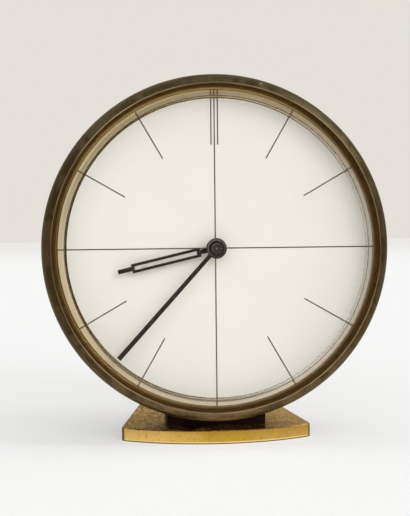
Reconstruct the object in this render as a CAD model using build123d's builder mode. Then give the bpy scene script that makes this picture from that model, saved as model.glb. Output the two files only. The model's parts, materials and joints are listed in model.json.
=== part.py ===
"""Wind-up table clock: round brass case on a neck and a bowed base, with dial, hands and eight-day movement.

Millimetres. X points right seen from the front, the dial faces -Y, Z points up, and the origin is the middle
of the base's underside. A level is a distance in front of the dial's face, so what lies behind the dial has
a negative one.
"""
import math
import os

from build123d import *

os.makedirs("parts", exist_ok=True)

# Shared values
OVERRUN = 1.0
RUNNING_CLEARANCE = 0.05
FIT_CLEARANCE = 0.05
EDGE_BREAK = 0.3

# Base and neck
BASE_WIDTH = 67.2
BASE_DEPTH = 66.0
BASE_THICKNESS = 4.6
BASE_FRONT_BOW = 9.9
BASE_REAR_BOW = 1.5
BASE_TAPER = 7.6
BASE_CORNER = 3.0
BASE_LEAD = 4.9
NECK_WIDTH = 35.0
NECK_DEPTH = 24.0
NECK_SETBACK = 0.6
CASE_LIFT = 2.6

# Bezel, crystal and the stack that the bezel clamps
BEZEL_RADIUS = 60.0
BEZEL_SKIRT_WALL = 1.45
BEZEL_SKIRT_LENGTH = 6.5
BEZEL_CURVE_HEIGHT = 6.5
BEZEL_BAND = 3.4
BEZEL_RIDGE_WIDTH = 0.5
BEZEL_RIDGE_HEIGHT = 3.5
BEZEL_SLOPE_WIDTH = 1.5
BEZEL_HOLLOW_SHARE = 0.25
BEZEL_LIP_THICKNESS = 1.0
CRYSTAL_FLANGE = 1.5
CRYSTAL_WALL = 0.95
CRYSTAL_WALL_HEIGHT = 4.0
CRYSTAL_WALL_SLOPE = 2.6
CRYSTAL_TOP = 1.8
CRYSTAL_DOME = 1.0
SPACER_HEIGHT = 3.5
SPACER_WALL = 2.2
DIAL_THICKNESS = 0.8
DIAL_HOLE = 2.6
CARRIER_THICKNESS = 1.2
CARRIER_HOLE = 3.4
LEDGE_THICKNESS = 2.0
LEDGE_WIDTH = 2.8

# Drum and back cover
DRUM_WALL = 1.2
REAR_SPACE = 7.5
COVER_THICKNESS = 1.5
COVER_PAN_DEPTH = 2.0
COVER_RIM = 10.25
COVER_INSET = 0.3
LUG_LENGTH = 9.0
LUG_WIDTH = 8.0
LUG_DEPTH = 6.0
LUG_COUNT = 3
LUG_START = 90.0

# Dial print
PRINT_HEIGHT = 0.05
LINE_WIDTH = 0.42
PRINT_EDGE_GAP = 0.65
HOUR_LINE_LENGTH = 18.4
TRIPLE_OFFSET = 1.15
QUARTERS = 4
HOUR_STEP = 30.0

# Hands, angles clockwise from twelve
HOUR_HAND_ANGLE = 256.9
HOUR_HAND_GAP = 1.2
HOUR_HAND_STEM = 1.6
HOUR_FRAME_START = 5.5
HOUR_TIP_LENGTH = 4.9
HOUR_FRAME_WIDTH = 3.2
HOUR_FRAME_BAR = 0.95
HOUR_FRAME_HEEL = 1.3
HOUR_HAND_TIP = 1.5
HOUR_BOSS_RADIUS = 3.0
HOUR_FILL_THICKNESS = 0.3
MINUTE_HAND_ANGLE = 222.1
MINUTE_HAND_GAP = 3.7
MINUTE_HAND_ROOT = 1.4
MINUTE_HAND_TIP = 1.6
MINUTE_BOSS_RADIUS = 3.55
MINUTE_BOSS_HEIGHT = 1.0
MINUTE_BOSS_BEVEL = 1.1
MINUTE_BOSS_SLOPE = 0.4
HAND_THICKNESS = 0.5
HOUR_HAND_LEVEL = 2.2
HAND_SPACING = 2.2
HAND_NUT_RADIUS = 1.9
HAND_NUT_TOP_RADIUS = 1.35
HAND_NUT_HEIGHT = 1.5
HAND_NUT_CAP = 0.6
HAND_NUT_SLOPE = 0.3
NUT_GROOVE_RADIUS = 1.0
NUT_GROOVE_WIDTH = 0.5
NUT_GROOVE_DEPTH = 0.15
NUT_DIMPLE_RADIUS = 0.45

# Movement plates
MOTION_SPACE = 5.0
PLATE_MARGIN = 2.75
PLATE_THICKNESS = 1.5
PLATE_GAP = 16.0
PILLAR_EDGE = 4.0
PILLAR_RADIUS = 2.2
PILLAR_STUB = 1.4
PILLAR_ANGLES = (15.0, 95.0, 170.0, 290.0)
POST_EDGE = 6.0
POST_RADIUS = 2.2
POST_STUB = 1.2
POST_ANGLES = (55.0, 220.0, 330.0)
END_SHAKE = 0.2

# Screws
SMALL_SCREW = 1.0
SMALL_HEAD = 2.0
SMALL_HEAD_HEIGHT = 1.0
SMALL_SCREW_DEPTH = 4.0
SLOT_WIDTH = 0.5
COVER_SCREW = 1.25
COVER_HEAD = 2.6
COVER_HEAD_HEIGHT = 1.3
COVER_SCREW_DEPTH = 5.0
BASE_SCREW = 1.6
BASE_HEAD = 3.2
BASE_HEAD_HEIGHT = 1.6
BASE_SCREW_SPACING = 18.0
BASE_SCREW_DEPTH = 3.2
BASE_SCREW_RECESS = 0.2
NECK_SCREW = 1.5
NECK_HEAD = 2.6
NECK_HEAD_HEIGHT = 1.6
NECK_SCREW_SPACING = 14.0
NECK_SCREW_DEPTH = 3.6

# Tooth forms, all as shares of the module
WHEEL_ADDENDUM_SHARE = 1.10
WHEEL_DEDENDUM_SHARE = 1.45
WHEEL_FLANK_SHARE = 0.70
WHEEL_TIP_SHARE = 0.22
PINION_ADDENDUM_SHARE = 0.55
PINION_DEDENDUM_SHARE = 1.55
PINION_FLANK_SHARE = 0.46
PINION_TIP_SHARE = 0.26

# Going train: teeth, modules, and where each arbor lies from the one before it
BARREL_TEETH = 72
BARREL_MODULE = 0.42
INTERMEDIATE_LEAVES = 12
INTERMEDIATE_TEETH = 60
INTERMEDIATE_MODULE = 0.40
CENTRE_LEAVES = 12
CENTRE_TEETH = 64
CENTRE_MODULE = 0.36
THIRD_LEAVES = 8
THIRD_TEETH = 60
THIRD_MODULE = 0.32
FOURTH_LEAVES = 8
FOURTH_TEETH = 70
FOURTH_MODULE = 0.28
ESCAPE_LEAVES = 7
INTERMEDIATE_ANGLE = 291.0
BARREL_ANGLE = 177.0
THIRD_ANGLE = 20.0
FOURTH_ANGLE = 110.0
ESCAPE_ANGLE = 150.0
LEVER_ANGLE = 190.0
WHEEL_THICKNESS = 0.8
PINION_OVERHANG = 0.4
WHEEL_RIM = 1.6
WHEEL_SPOKE = 1.2
WHEEL_HUB = 2.0
SPOKE_COUNT = 5
ARBOR_RADIUS = 0.45
PIVOT_RADIUS = 0.3

# Places between the plates as shares of the plate gap, from the front plate backwards
INTERMEDIATE_PLACE_SHARE = 0.07
CENTRE_PLACE_SHARE = 0.185
BARREL_PLACE_SHARE = 0.29
ESCAPE_PLACE_SHARE = 0.22
ROLLER_PLACE_SHARE = 0.31
THIRD_PLACE_SHARE = 0.47
BALANCE_PLACE_SHARE = 0.50
HAIRSPRING_PLACE_SHARE = 0.69
FOURTH_PLACE_SHARE = 0.72

# Barrel, mainspring and winding
BARREL_WALL = 1.0
BARREL_TOOTH_RING = 1.2
BARREL_FLOOR = 1.2
BARREL_END_GAP = 1.36
BARREL_COVER = 1.0
SPRING_STRIP = 0.4
SPRING_PITCH = 1.0
SPRING_END_GAP = 0.6
SPRING_SIDE_GAP = 0.3
WINDING_ARBOR = 2.5
WINDING_PIVOT = 1.0
WINDING_REAR = 1.9
WINDING_SQUARE = 2.4
RATCHET_TEETH = 24
RATCHET_TIP = 6.5
RATCHET_TOOTH = 0.9
RATCHET_THICKNESS = 1.4
RATCHET_GAP = 0.3
CLICK_REACH = 11.2
CLICK_BEARING = -32.0
CLICK_CLEARANCE = 0.3
CLICK_HUB = 1.8
CLICK_WIDTH = 1.6
CLICK_BEAK = 0.5
CLICK_STUD = 0.9
CLICK_HEAD_HEIGHT = 0.6
CLICK_SPRING_WIRE = 0.3
CLICK_SPRING_GAP = 0.1
CLICK_SPRING_FOOT = 1.2

# Escapement and balance
ESCAPE_TEETH = 15
ESCAPE_TIP = 5.0
ESCAPE_TOOTH = 1.4
ESCAPE_TOOTH_ROOT_SHARE = 0.55
ESCAPE_TOOTH_TIP_SHARE = 0.12
ESCAPE_LEAN_SHARE = 0.30
LEVER_DISTANCE = 7.0
LEVER_SWING = 4.0
PALLET_SPREAD = 30.0
PALLET_PIN = 0.3
PALLET_CLEARANCE = 0.35
PALLET_EYE = 0.7
LEVER_WIDTH = 1.0
LEVER_HUB = 1.1
FORK_WIDTH = 2.0
FORK_LENGTH = 1.4
FORK_SLOT = 0.8
FORK_SLOT_DEPTH = 1.0
FORK_CLEARANCE = 0.25
BANKING_PIN = 0.4
BANKING_CLEARANCE = 0.1
BANKING_REACH_SHARE = 0.45
ROLLER_RADIUS = 2.6
ROLLER_THICKNESS = 0.8
IMPULSE_RADIUS = 2.0
IMPULSE_PIN = 0.3
BALANCE_DISTANCE = 9.0
BALANCE_RADIUS = 8.0
BALANCE_RIM = 1.3
BALANCE_THICKNESS = 1.5
BALANCE_SPOKES = 3
STAFF_RADIUS = 0.9
STAFF_PIVOT = 0.35
PIVOT_DEPTH = 0.5
BALANCE_SCREW = 1.8
BALANCE_SCREW_REACH = 0.8
HAIR_START = 1.6
HAIR_PITCH = 0.85
HAIR_HALF_TURNS = 8
HAIR_STRIP = 0.2
HAIR_HEIGHT = 0.8
HAIR_STUD = 0.6
HAIR_STUD_GAP = 0.08
REGULATOR_RING = 3.2
REGULATOR_THICKNESS = 0.8
REGULATOR_ARM = 12.0
REGULATOR_WIDTH = 1.6
REGULATOR_ANGLE = 134.0
REGULATOR_SWING = 15.0
REGULATOR_PIN = 0.8
REGULATOR_REACH = 2.5
CURB_PIN = 0.25
CURB_CLEARANCE = 0.3
SLOT_CLEARANCE = 0.5

# Motion work behind the dial
CANNON_LEAVES = 12
MINUTE_TEETH = 36
MOTION_MODULE = 0.40
MINUTE_LEAVES = 10
HOUR_TEETH = 40
MINUTE_WHEEL_ANGLE = 300.0
MOTION_LIFT = 0.6
MINUTE_ARBOR = 0.8
CANNON_PIPE = 1.4
HOUR_PIPE_WALL = 0.75
MINUTE_STUD = 0.8
CENTRE_PIPE = 1.5

# Key and knob
KEY_HUB = 3.0
KEY_HUB_LENGTH = 8.0
KEY_GAP = 1.0
KEY_SPAN = 19.0
KEY_HEIGHT = 9.0
KEY_THICKNESS = 1.6
KEY_EYE = 2.3
KEY_EYE_SPREAD = 5.5
KEY_HOLE_CLEARANCE = 0.5
KNOB_RADIUS = 5.5
KNOB_LENGTH = 6.0
KNOB_NECK = 2.6
KNOB_NECK_LENGTH = 2.0
KNOB_GAP = 0.8
KNOB_GROOVES = 24
KNOB_GROOVE = 0.35

# Derived sizes of the case
DRUM_RADIUS = BEZEL_RADIUS - BEZEL_SKIRT_WALL - FIT_CLEARANCE
DRUM_BORE = DRUM_RADIUS - DRUM_WALL
STACK_RADIUS = DRUM_BORE - FIT_CLEARANCE
BEZEL_RIDGE_RADIUS = BEZEL_RADIUS - BEZEL_BAND
BEZEL_RIDGE_INNER = BEZEL_RIDGE_RADIUS - BEZEL_RIDGE_WIDTH
BEZEL_LIP_RADIUS = BEZEL_RIDGE_INNER - BEZEL_SLOPE_WIDTH
CRYSTAL_LIP = BEZEL_LIP_RADIUS - FIT_CLEARANCE
CRYSTAL_SHOULDER = CRYSTAL_LIP - CRYSTAL_WALL_SLOPE
LEDGE_RADIUS = DRUM_BORE - LEDGE_WIDTH
LUG_CIRCLE = DRUM_BORE - LUG_LENGTH / 2
COVER_PAN_RADIUS = STACK_RADIUS - COVER_RIM - COVER_PAN_DEPTH

# Derived sizes of the print and the hands
PRINT_RADIUS = STACK_RADIUS - SPACER_WALL - PRINT_EDGE_GAP
HOUR_LINE_INNER = PRINT_RADIUS - HOUR_LINE_LENGTH
HOUR_HAND_LENGTH = HOUR_LINE_INNER - HOUR_HAND_GAP
HOUR_FRAME_END = HOUR_HAND_LENGTH - HOUR_TIP_LENGTH
MINUTE_HAND_LENGTH = PRINT_RADIUS - MINUTE_HAND_GAP

# Derived levels, front to back
CRYSTAL_SEAT = SPACER_HEIGHT + CRYSTAL_FLANGE
LIP_LEVEL = CRYSTAL_SEAT + BEZEL_LIP_THICKNESS
RIDGE_LEVEL = LIP_LEVEL + BEZEL_RIDGE_HEIGHT
BEZEL_CURVE_LEVEL = RIDGE_LEVEL - BEZEL_CURVE_HEIGHT
SHOULDER_LEVEL = LIP_LEVEL + CRYSTAL_WALL_HEIGHT
SKIRT_END = SPACER_HEIGHT - BEZEL_SKIRT_LENGTH
CARRIER_FRONT = -DIAL_THICKNESS
CARRIER_BACK = CARRIER_FRONT - CARRIER_THICKNESS
FRONT_PLATE_FRONT = CARRIER_BACK - MOTION_SPACE
FRONT_PLATE_BACK = FRONT_PLATE_FRONT - PLATE_THICKNESS
BACK_PLATE_FRONT = FRONT_PLATE_BACK - PLATE_GAP
BACK_PLATE_BACK = BACK_PLATE_FRONT - PLATE_THICKNESS
LUG_BACK = BACK_PLATE_BACK - REAR_SPACE
COVER_BACK = LUG_BACK - COVER_THICKNESS
PAN_FRONT = LUG_BACK - COVER_PAN_DEPTH
PAN_BACK = PAN_FRONT - COVER_THICKNESS
DRUM_BACK = COVER_BACK - COVER_INSET
NECK_FRONT = SKIRT_END - NECK_SETBACK
NECK_BACK = NECK_FRONT - NECK_DEPTH

# Where the dial's middle stands
DIAL_Y = -BASE_DEPTH / 2 + BASE_LEAD + BEZEL_CURVE_LEVEL
DIAL_Z = BASE_THICKNESS + CASE_LIFT + BEZEL_RADIUS


def away(start, distance, angle):
    """Point at a distance and an anticlockwise angle from another, seen from the front."""
    turn = math.radians(angle)
    return (start[0] + distance * math.cos(turn), start[1] + distance * math.sin(turn))


def mesh_distance(module, first, second):
    """Distance between the axes of two gears."""
    return module * (first + second) / 2


# Where the arbors stand, seen from the front with the dial's middle as zero
CENTRE = (0, 0)
INTERMEDIATE = away(
    CENTRE, mesh_distance(INTERMEDIATE_MODULE, INTERMEDIATE_TEETH, CENTRE_LEAVES), INTERMEDIATE_ANGLE
)
BARREL = away(INTERMEDIATE, mesh_distance(BARREL_MODULE, BARREL_TEETH, INTERMEDIATE_LEAVES), BARREL_ANGLE)
THIRD = away(CENTRE, mesh_distance(CENTRE_MODULE, CENTRE_TEETH, THIRD_LEAVES), THIRD_ANGLE)
FOURTH = away(THIRD, mesh_distance(THIRD_MODULE, THIRD_TEETH, FOURTH_LEAVES), FOURTH_ANGLE)
ESCAPE = away(FOURTH, mesh_distance(FOURTH_MODULE, FOURTH_TEETH, ESCAPE_LEAVES), ESCAPE_ANGLE)
LEVER = away(ESCAPE, LEVER_DISTANCE, LEVER_ANGLE)
BALANCE = away(LEVER, BALANCE_DISTANCE, LEVER_ANGLE)
MOTION_DISTANCE = mesh_distance(MOTION_MODULE, MINUTE_TEETH, CANNON_LEAVES)
HOUR_MODULE = 2 * MOTION_DISTANCE / (MINUTE_LEAVES + HOUR_TEETH)
MINUTE_WHEEL = away(CENTRE, MOTION_DISTANCE, MINUTE_WHEEL_ANGLE)
CLICK = away(BARREL, CLICK_REACH, CLICK_BEARING)

# The plates reach past the barrel and the balance, and pillars and posts stand near their edge
BARREL_TIP = BARREL_TEETH * BARREL_MODULE / 2 + WHEEL_ADDENDUM_SHARE * BARREL_MODULE
TRAIN_REACH = max(math.hypot(*BARREL) + BARREL_TIP, math.hypot(*BALANCE) + BALANCE_RADIUS)
PLATE_RADIUS = TRAIN_REACH + PLATE_MARGIN
PILLAR_CIRCLE = PLATE_RADIUS - PILLAR_EDGE
POST_CIRCLE = PLATE_RADIUS - POST_EDGE


def place(share):
    """Level between the plates, as a share of the gap behind the front plate."""
    return FRONT_PLATE_BACK - share * PLATE_GAP


INTERMEDIATE_FRONT = place(INTERMEDIATE_PLACE_SHARE)
CENTRE_FRONT = place(CENTRE_PLACE_SHARE)
BARREL_FRONT = place(BARREL_PLACE_SHARE)
ESCAPE_FRONT = place(ESCAPE_PLACE_SHARE)
ROLLER_FRONT = place(ROLLER_PLACE_SHARE)
THIRD_FRONT = place(THIRD_PLACE_SHARE)
BALANCE_FRONT = place(BALANCE_PLACE_SHARE)
HAIR_FRONT = place(HAIRSPRING_PLACE_SHARE)
FOURTH_FRONT = place(FOURTH_PLACE_SHARE)
BARREL_BACK = BACK_PLATE_FRONT + BARREL_END_GAP
ARBOR_FRONT = FRONT_PLATE_BACK - END_SHAKE
ARBOR_BACK = BACK_PLATE_FRONT + END_SHAKE


def facing(level, at=CENTRE, angle=0):
    """Plane that faces the viewer at a level, its x axis turned anticlockwise."""
    turn = math.radians(angle)
    return Plane(
        origin=(at[0], DIAL_Y - level, DIAL_Z + at[1]),
        x_dir=(math.cos(turn), 0, math.sin(turn)),
        z_dir=(0, -1, 0),
    )


def turning(at=CENTRE):
    """Plane of a turned profile: x is the radius and y the level."""
    return Plane(origin=(at[0], DIAL_Y, DIAL_Z + at[1]), x_dir=(1, 0, 0), z_dir=(0, 0, -1))


def spindle(at=CENTRE):
    """Axis of a turned piece."""
    return Axis((at[0], DIAL_Y, DIAL_Z + at[1]), (0, 1, 0))


def turned(points, at=CENTRE, mode=Mode.ADD):
    """Solid of revolution from an outline of radius and level points."""
    with BuildSketch(turning(at)) as profile:
        with BuildLine():
            Polyline(*points, close=True)
        make_face()
    revolve(profile.sketch, axis=spindle(at), mode=mode)


def stepped(at, start, steps):
    """Round stepped rod that runs backwards from a level; a step is a radius and the level where it ends."""
    points = [(0, start)]
    level = start
    for radius, end in steps:
        points += [(radius, level), (radius, end)]
        level = end
    points.append((0, level))
    turned(points, at)


def disc(radius, front, back, at=CENTRE, mode=Mode.ADD):
    """Round disc between two levels."""
    with BuildSketch(facing(back, at)) as outline:
        Circle(radius)
    extrude(outline.sketch, amount=front - back, mode=mode)


def bore(radius, front, back, at=CENTRE):
    """Round hole right through what lies between two levels."""
    disc(radius, front + OVERRUN, back - OVERRUN, at, Mode.SUBTRACT)


def tooth_points(teeth, module, phase, shares):
    """Outline of a gear, its first tooth at the phase angle."""
    addendum, dedendum, flank, tip = shares
    pitch_radius = teeth * module / 2
    root_radius = pitch_radius - dedendum * module
    tip_radius = pitch_radius + addendum * module
    flank_turn = flank * module / pitch_radius
    tip_turn = tip * module / tip_radius
    corners = (
        (root_radius, -flank_turn),
        (pitch_radius, -flank_turn),
        (tip_radius, -tip_turn),
        (tip_radius, tip_turn),
        (pitch_radius, flank_turn),
        (root_radius, flank_turn),
    )
    points = []
    for number in range(teeth):
        middle = math.radians(phase) + 2 * math.pi * number / teeth
        for radius, turn in corners:
            points.append((radius * math.cos(middle + turn), radius * math.sin(middle + turn)))
    return points


WHEEL_SHARES = (WHEEL_ADDENDUM_SHARE, WHEEL_DEDENDUM_SHARE, WHEEL_FLANK_SHARE, WHEEL_TIP_SHARE)
PINION_SHARES = (PINION_ADDENDUM_SHARE, PINION_DEDENDUM_SHARE, PINION_FLANK_SHARE, PINION_TIP_SHARE)


def gear(points, front, thickness, at):
    """Gear cut from its outline, running backwards from a level."""
    with BuildSketch(facing(front - thickness, at)) as outline:
        with BuildLine():
            Polyline(*points, close=True)
        make_face()
    extrude(outline.sketch, amount=thickness)


def wheel_gear(teeth, module, front, thickness, at, mate_angle):
    """Wheel whose gap points at its mate."""
    gear(tooth_points(teeth, module, mate_angle + 180 / teeth, WHEEL_SHARES), front, thickness, at)


def pinion_gear(teeth, module, front, thickness, at, mate_angle):
    """Pinion whose leaf points at its mate."""
    gear(tooth_points(teeth, module, mate_angle, PINION_SHARES), front, thickness, at)


def spoke_windows(pitch_radius, front, thickness, at):
    """Cut the windows between hub, spokes and rim of a wheel."""
    outer = pitch_radius - WHEEL_RIM
    with BuildSketch(facing(front - thickness, at)) as windows:
        Circle(outer)
        Circle(WHEEL_HUB, mode=Mode.SUBTRACT)
        with PolarLocations(outer / 2, SPOKE_COUNT):
            Rectangle(outer + OVERRUN, WHEEL_SPOKE, mode=Mode.SUBTRACT)
    extrude(windows.sketch, amount=thickness, mode=Mode.SUBTRACT)


def train_wheel(teeth, module, front, at, mate_angle, seat):
    """Spoked wheel with a bore for its seat on the arbor."""
    wheel_gear(teeth, module, front, WHEEL_THICKNESS, at, mate_angle)
    spoke_windows(teeth * module / 2, front, WHEEL_THICKNESS, at)
    bore(seat, front, front - WHEEL_THICKNESS, at)


def arbor(at):
    """Plain arbor with a pivot in each plate."""
    stepped(
        at,
        FRONT_PLATE_FRONT,
        ((PIVOT_RADIUS, ARBOR_FRONT), (ARBOR_RADIUS, ARBOR_BACK), (PIVOT_RADIUS, BACK_PLATE_BACK)),
    )


def train_arbor(leaves, module, front, at, mate_angle):
    """Arbor with a pinion at the level of the wheel that drives it."""
    arbor(at)
    pinion_gear(
        leaves, module, front + PINION_OVERHANG, WHEEL_THICKNESS + 2 * PINION_OVERHANG, at, mate_angle
    )


def spiral(start, pitch, half_turns, strip):
    """Flat spiral strip of half-turn arcs whose middles lie by turns on two points."""
    with BuildLine() as edges:
        for side in (-strip / 2, strip / 2):
            for number in range(half_turns):
                radius = start + number * pitch / 2 + side
                middle = (number % 2) * pitch / 2
                CenterArc((middle, 0), radius, 180 * (number % 2), 180)
        last = start + (half_turns - 1) * pitch / 2
        end_middle = ((half_turns - 1) % 2) * pitch / 2
        end_sign = 1 if half_turns % 2 == 0 else -1
        Line((start - strip / 2, 0), (start + strip / 2, 0))
        Line(
            (end_middle + end_sign * (last - strip / 2), 0),
            (end_middle + end_sign * (last + strip / 2), 0),
        )
    make_face(edges.edges())


def spiral_end(start, pitch, half_turns):
    """How far the outer end of a spiral lies from its axis, along x."""
    last = start + (half_turns - 1) * pitch / 2
    return last + pitch / 2 if half_turns % 2 == 0 else -last


def slot(radius, back, at, angle, depth):
    """Screwdriver slot cut into a head from behind."""
    with BuildSketch(facing(back, at, angle)) as groove:
        Rectangle(2 * radius + OVERRUN, SLOT_WIDTH)
    extrude(groove.sketch, amount=depth, mode=Mode.SUBTRACT)


def arc_slot(front, back, radius, half_width, angle):
    """Cut a round-ended arc about the balance's axis, as long as the regulator's swing."""
    swing = REGULATOR_SWING
    turn = math.radians(swing)
    reach = (radius * math.cos(turn), radius * math.sin(turn))
    with BuildSketch(facing(back - OVERRUN, BALANCE, angle)) as window:
        with BuildLine():
            CenterArc((0, 0), radius + half_width, -swing, 2 * swing)
            CenterArc(reach, half_width, swing, 180)
            CenterArc((0, 0), radius - half_width, -swing, 2 * swing)
            CenterArc((reach[0], -reach[1]), half_width, 180 - swing, 180)
        make_face()
    extrude(window.sketch, amount=front - back + 2 * OVERRUN, mode=Mode.SUBTRACT)


def save(piece, name):
    """Name the piece and write it out."""
    piece.part.label = name
    export_step(piece.part, "parts/" + name + ".step")


# Base plate
base_rear = BASE_DEPTH / 2
base_front = -base_rear
base_half = BASE_WIDTH / 2
base_front_corner = base_front + BASE_FRONT_BOW
base_rear_corner = base_rear - BASE_REAR_BOW
base_rear_half = base_half - BASE_TAPER
neck_middle_y = DIAL_Y - (NECK_FRONT + NECK_BACK) / 2
base_head_top = BASE_SCREW_RECESS + BASE_HEAD_HEIGHT
with BuildPart() as base_plate:
    with BuildSketch(Plane.XY) as base_outline:
        with BuildLine():
            ThreePointArc((-base_half, base_front_corner), (0, base_front), (base_half, base_front_corner))
            Line((base_half, base_front_corner), (base_rear_half, base_rear_corner))
            ThreePointArc(
                (base_rear_half, base_rear_corner), (0, base_rear), (-base_rear_half, base_rear_corner)
            )
            Line((-base_rear_half, base_rear_corner), (-base_half, base_front_corner))
        make_face()
        fillet(base_outline.vertices(), BASE_CORNER)
    extrude(amount=BASE_THICKNESS)
    chamfer(base_plate.faces().sort_by(Axis.Z)[-1].edges(), EDGE_BREAK)
    with BuildSketch(Plane.XY.offset(-OVERRUN)):
        with Locations((-BASE_SCREW_SPACING / 2, neck_middle_y), (BASE_SCREW_SPACING / 2, neck_middle_y)):
            Circle(BASE_SCREW + FIT_CLEARANCE)
    extrude(amount=BASE_THICKNESS + 2 * OVERRUN, mode=Mode.SUBTRACT)
    with BuildSketch(Plane.XY.offset(-OVERRUN)):
        with Locations((-BASE_SCREW_SPACING / 2, neck_middle_y), (BASE_SCREW_SPACING / 2, neck_middle_y)):
            Circle(BASE_HEAD + FIT_CLEARANCE)
    extrude(amount=base_head_top + OVERRUN, mode=Mode.SUBTRACT)
save(base_plate, "base_plate")

# Neck block, hollowed on top to the drum's curve
base_screw_top = BASE_THICKNESS + BASE_SCREW_DEPTH
drum_bottom = DIAL_Z - DRUM_RADIUS
neck_screw_foot = drum_bottom - NECK_SCREW_DEPTH
neck_screw_ys = (neck_middle_y - NECK_SCREW_SPACING / 2, neck_middle_y + NECK_SCREW_SPACING / 2)
with BuildPart() as neck_block:
    with BuildSketch(Plane.XY.offset(BASE_THICKNESS)):
        with Locations((0, neck_middle_y)):
            Rectangle(NECK_WIDTH, NECK_DEPTH)
    extrude(amount=DIAL_Z - BASE_THICKNESS - DRUM_BORE / 2)
    bore(DRUM_RADIUS, NECK_FRONT, NECK_BACK)
    with BuildSketch(Plane.XY.offset(BASE_THICKNESS)):
        with Locations((-BASE_SCREW_SPACING / 2, neck_middle_y), (BASE_SCREW_SPACING / 2, neck_middle_y)):
            Circle(BASE_SCREW)
    extrude(amount=BASE_SCREW_DEPTH, mode=Mode.SUBTRACT)
    with BuildSketch(Plane.XY.offset(neck_screw_foot)):
        with Locations((0, neck_screw_ys[0]), (0, neck_screw_ys[1])):
            Circle(NECK_SCREW)
    extrude(amount=NECK_SCREW_DEPTH + OVERRUN, mode=Mode.SUBTRACT)
save(neck_block, "neck_block")

# Two screws from the base up into the neck
with BuildPart() as base_screws:
    with BuildSketch(Plane.XY.offset(BASE_SCREW_RECESS)):
        with Locations((-BASE_SCREW_SPACING / 2, neck_middle_y), (BASE_SCREW_SPACING / 2, neck_middle_y)):
            Circle(BASE_HEAD)
            Rectangle(2 * BASE_HEAD + OVERRUN, SLOT_WIDTH, mode=Mode.SUBTRACT)
    extrude(amount=BASE_HEAD_HEIGHT / 2)
    with BuildSketch(Plane.XY.offset(BASE_SCREW_RECESS + BASE_HEAD_HEIGHT / 2)):
        with Locations((-BASE_SCREW_SPACING / 2, neck_middle_y), (BASE_SCREW_SPACING / 2, neck_middle_y)):
            Circle(BASE_HEAD)
    extrude(amount=BASE_HEAD_HEIGHT / 2)
    with BuildSketch(Plane.XY.offset(base_head_top)):
        with Locations((-BASE_SCREW_SPACING / 2, neck_middle_y), (BASE_SCREW_SPACING / 2, neck_middle_y)):
            Circle(BASE_SCREW)
    extrude(amount=base_screw_top - base_head_top)
save(base_screws, "base_screws")

# Two screws from inside the drum down into the neck; the heads sit on the drum's curve by their rims
neck_head_foot = DIAL_Z - math.sqrt(DRUM_BORE**2 - NECK_HEAD**2)
with BuildPart() as neck_screws:
    with BuildSketch(Plane.XY.offset(neck_screw_foot)):
        with Locations((0, neck_screw_ys[0]), (0, neck_screw_ys[1])):
            Circle(NECK_SCREW)
    extrude(amount=neck_head_foot - neck_screw_foot)
    with BuildSketch(Plane.XY.offset(neck_head_foot)):
        with Locations((0, neck_screw_ys[0]), (0, neck_screw_ys[1])):
            Circle(NECK_HEAD)
    extrude(amount=NECK_HEAD_HEIGHT / 2)
    with BuildSketch(Plane.XY.offset(neck_head_foot + NECK_HEAD_HEIGHT / 2)):
        with Locations((0, neck_screw_ys[0]), (0, neck_screw_ys[1])):
            Circle(NECK_HEAD)
            Rectangle(2 * NECK_HEAD + OVERRUN, SLOT_WIDTH, mode=Mode.SUBTRACT)
    extrude(amount=NECK_HEAD_HEIGHT / 2)
save(neck_screws, "neck_screws")

# Drum of the case, with the ledge that carries the dial and the lugs for the back cover
ledge_back = CARRIER_BACK - LEDGE_THICKNESS
lug_outer = DRUM_BORE + DRUM_WALL / 2
lug_inner = DRUM_BORE - LUG_LENGTH
with BuildPart() as drum_case:
    turned(
        (
            (DRUM_BORE, SPACER_HEIGHT),
            (DRUM_RADIUS, SPACER_HEIGHT),
            (DRUM_RADIUS, DRUM_BACK),
            (DRUM_BORE, DRUM_BACK),
            (DRUM_BORE, ledge_back),
            (LEDGE_RADIUS, ledge_back),
            (LEDGE_RADIUS, CARRIER_BACK),
            (DRUM_BORE, CARRIER_BACK),
        )
    )
    with BuildSketch(facing(LUG_BACK)):
        with PolarLocations((lug_outer + lug_inner) / 2, LUG_COUNT, LUG_START):
            Rectangle(lug_outer - lug_inner, LUG_WIDTH)
    extrude(amount=LUG_DEPTH)
    with BuildSketch(facing(LUG_BACK)):
        with PolarLocations(LUG_CIRCLE, LUG_COUNT, LUG_START):
            Circle(COVER_SCREW)
    extrude(amount=COVER_SCREW_DEPTH, mode=Mode.SUBTRACT)
    with BuildSketch(Plane.XY.offset(drum_bottom - OVERRUN)):
        with Locations((0, neck_screw_ys[0]), (0, neck_screw_ys[1])):
            Circle(NECK_SCREW + FIT_CLEARANCE)
    extrude(amount=DRUM_WALL + 2 * OVERRUN, mode=Mode.SUBTRACT)
save(drum_case, "drum_case")

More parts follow.
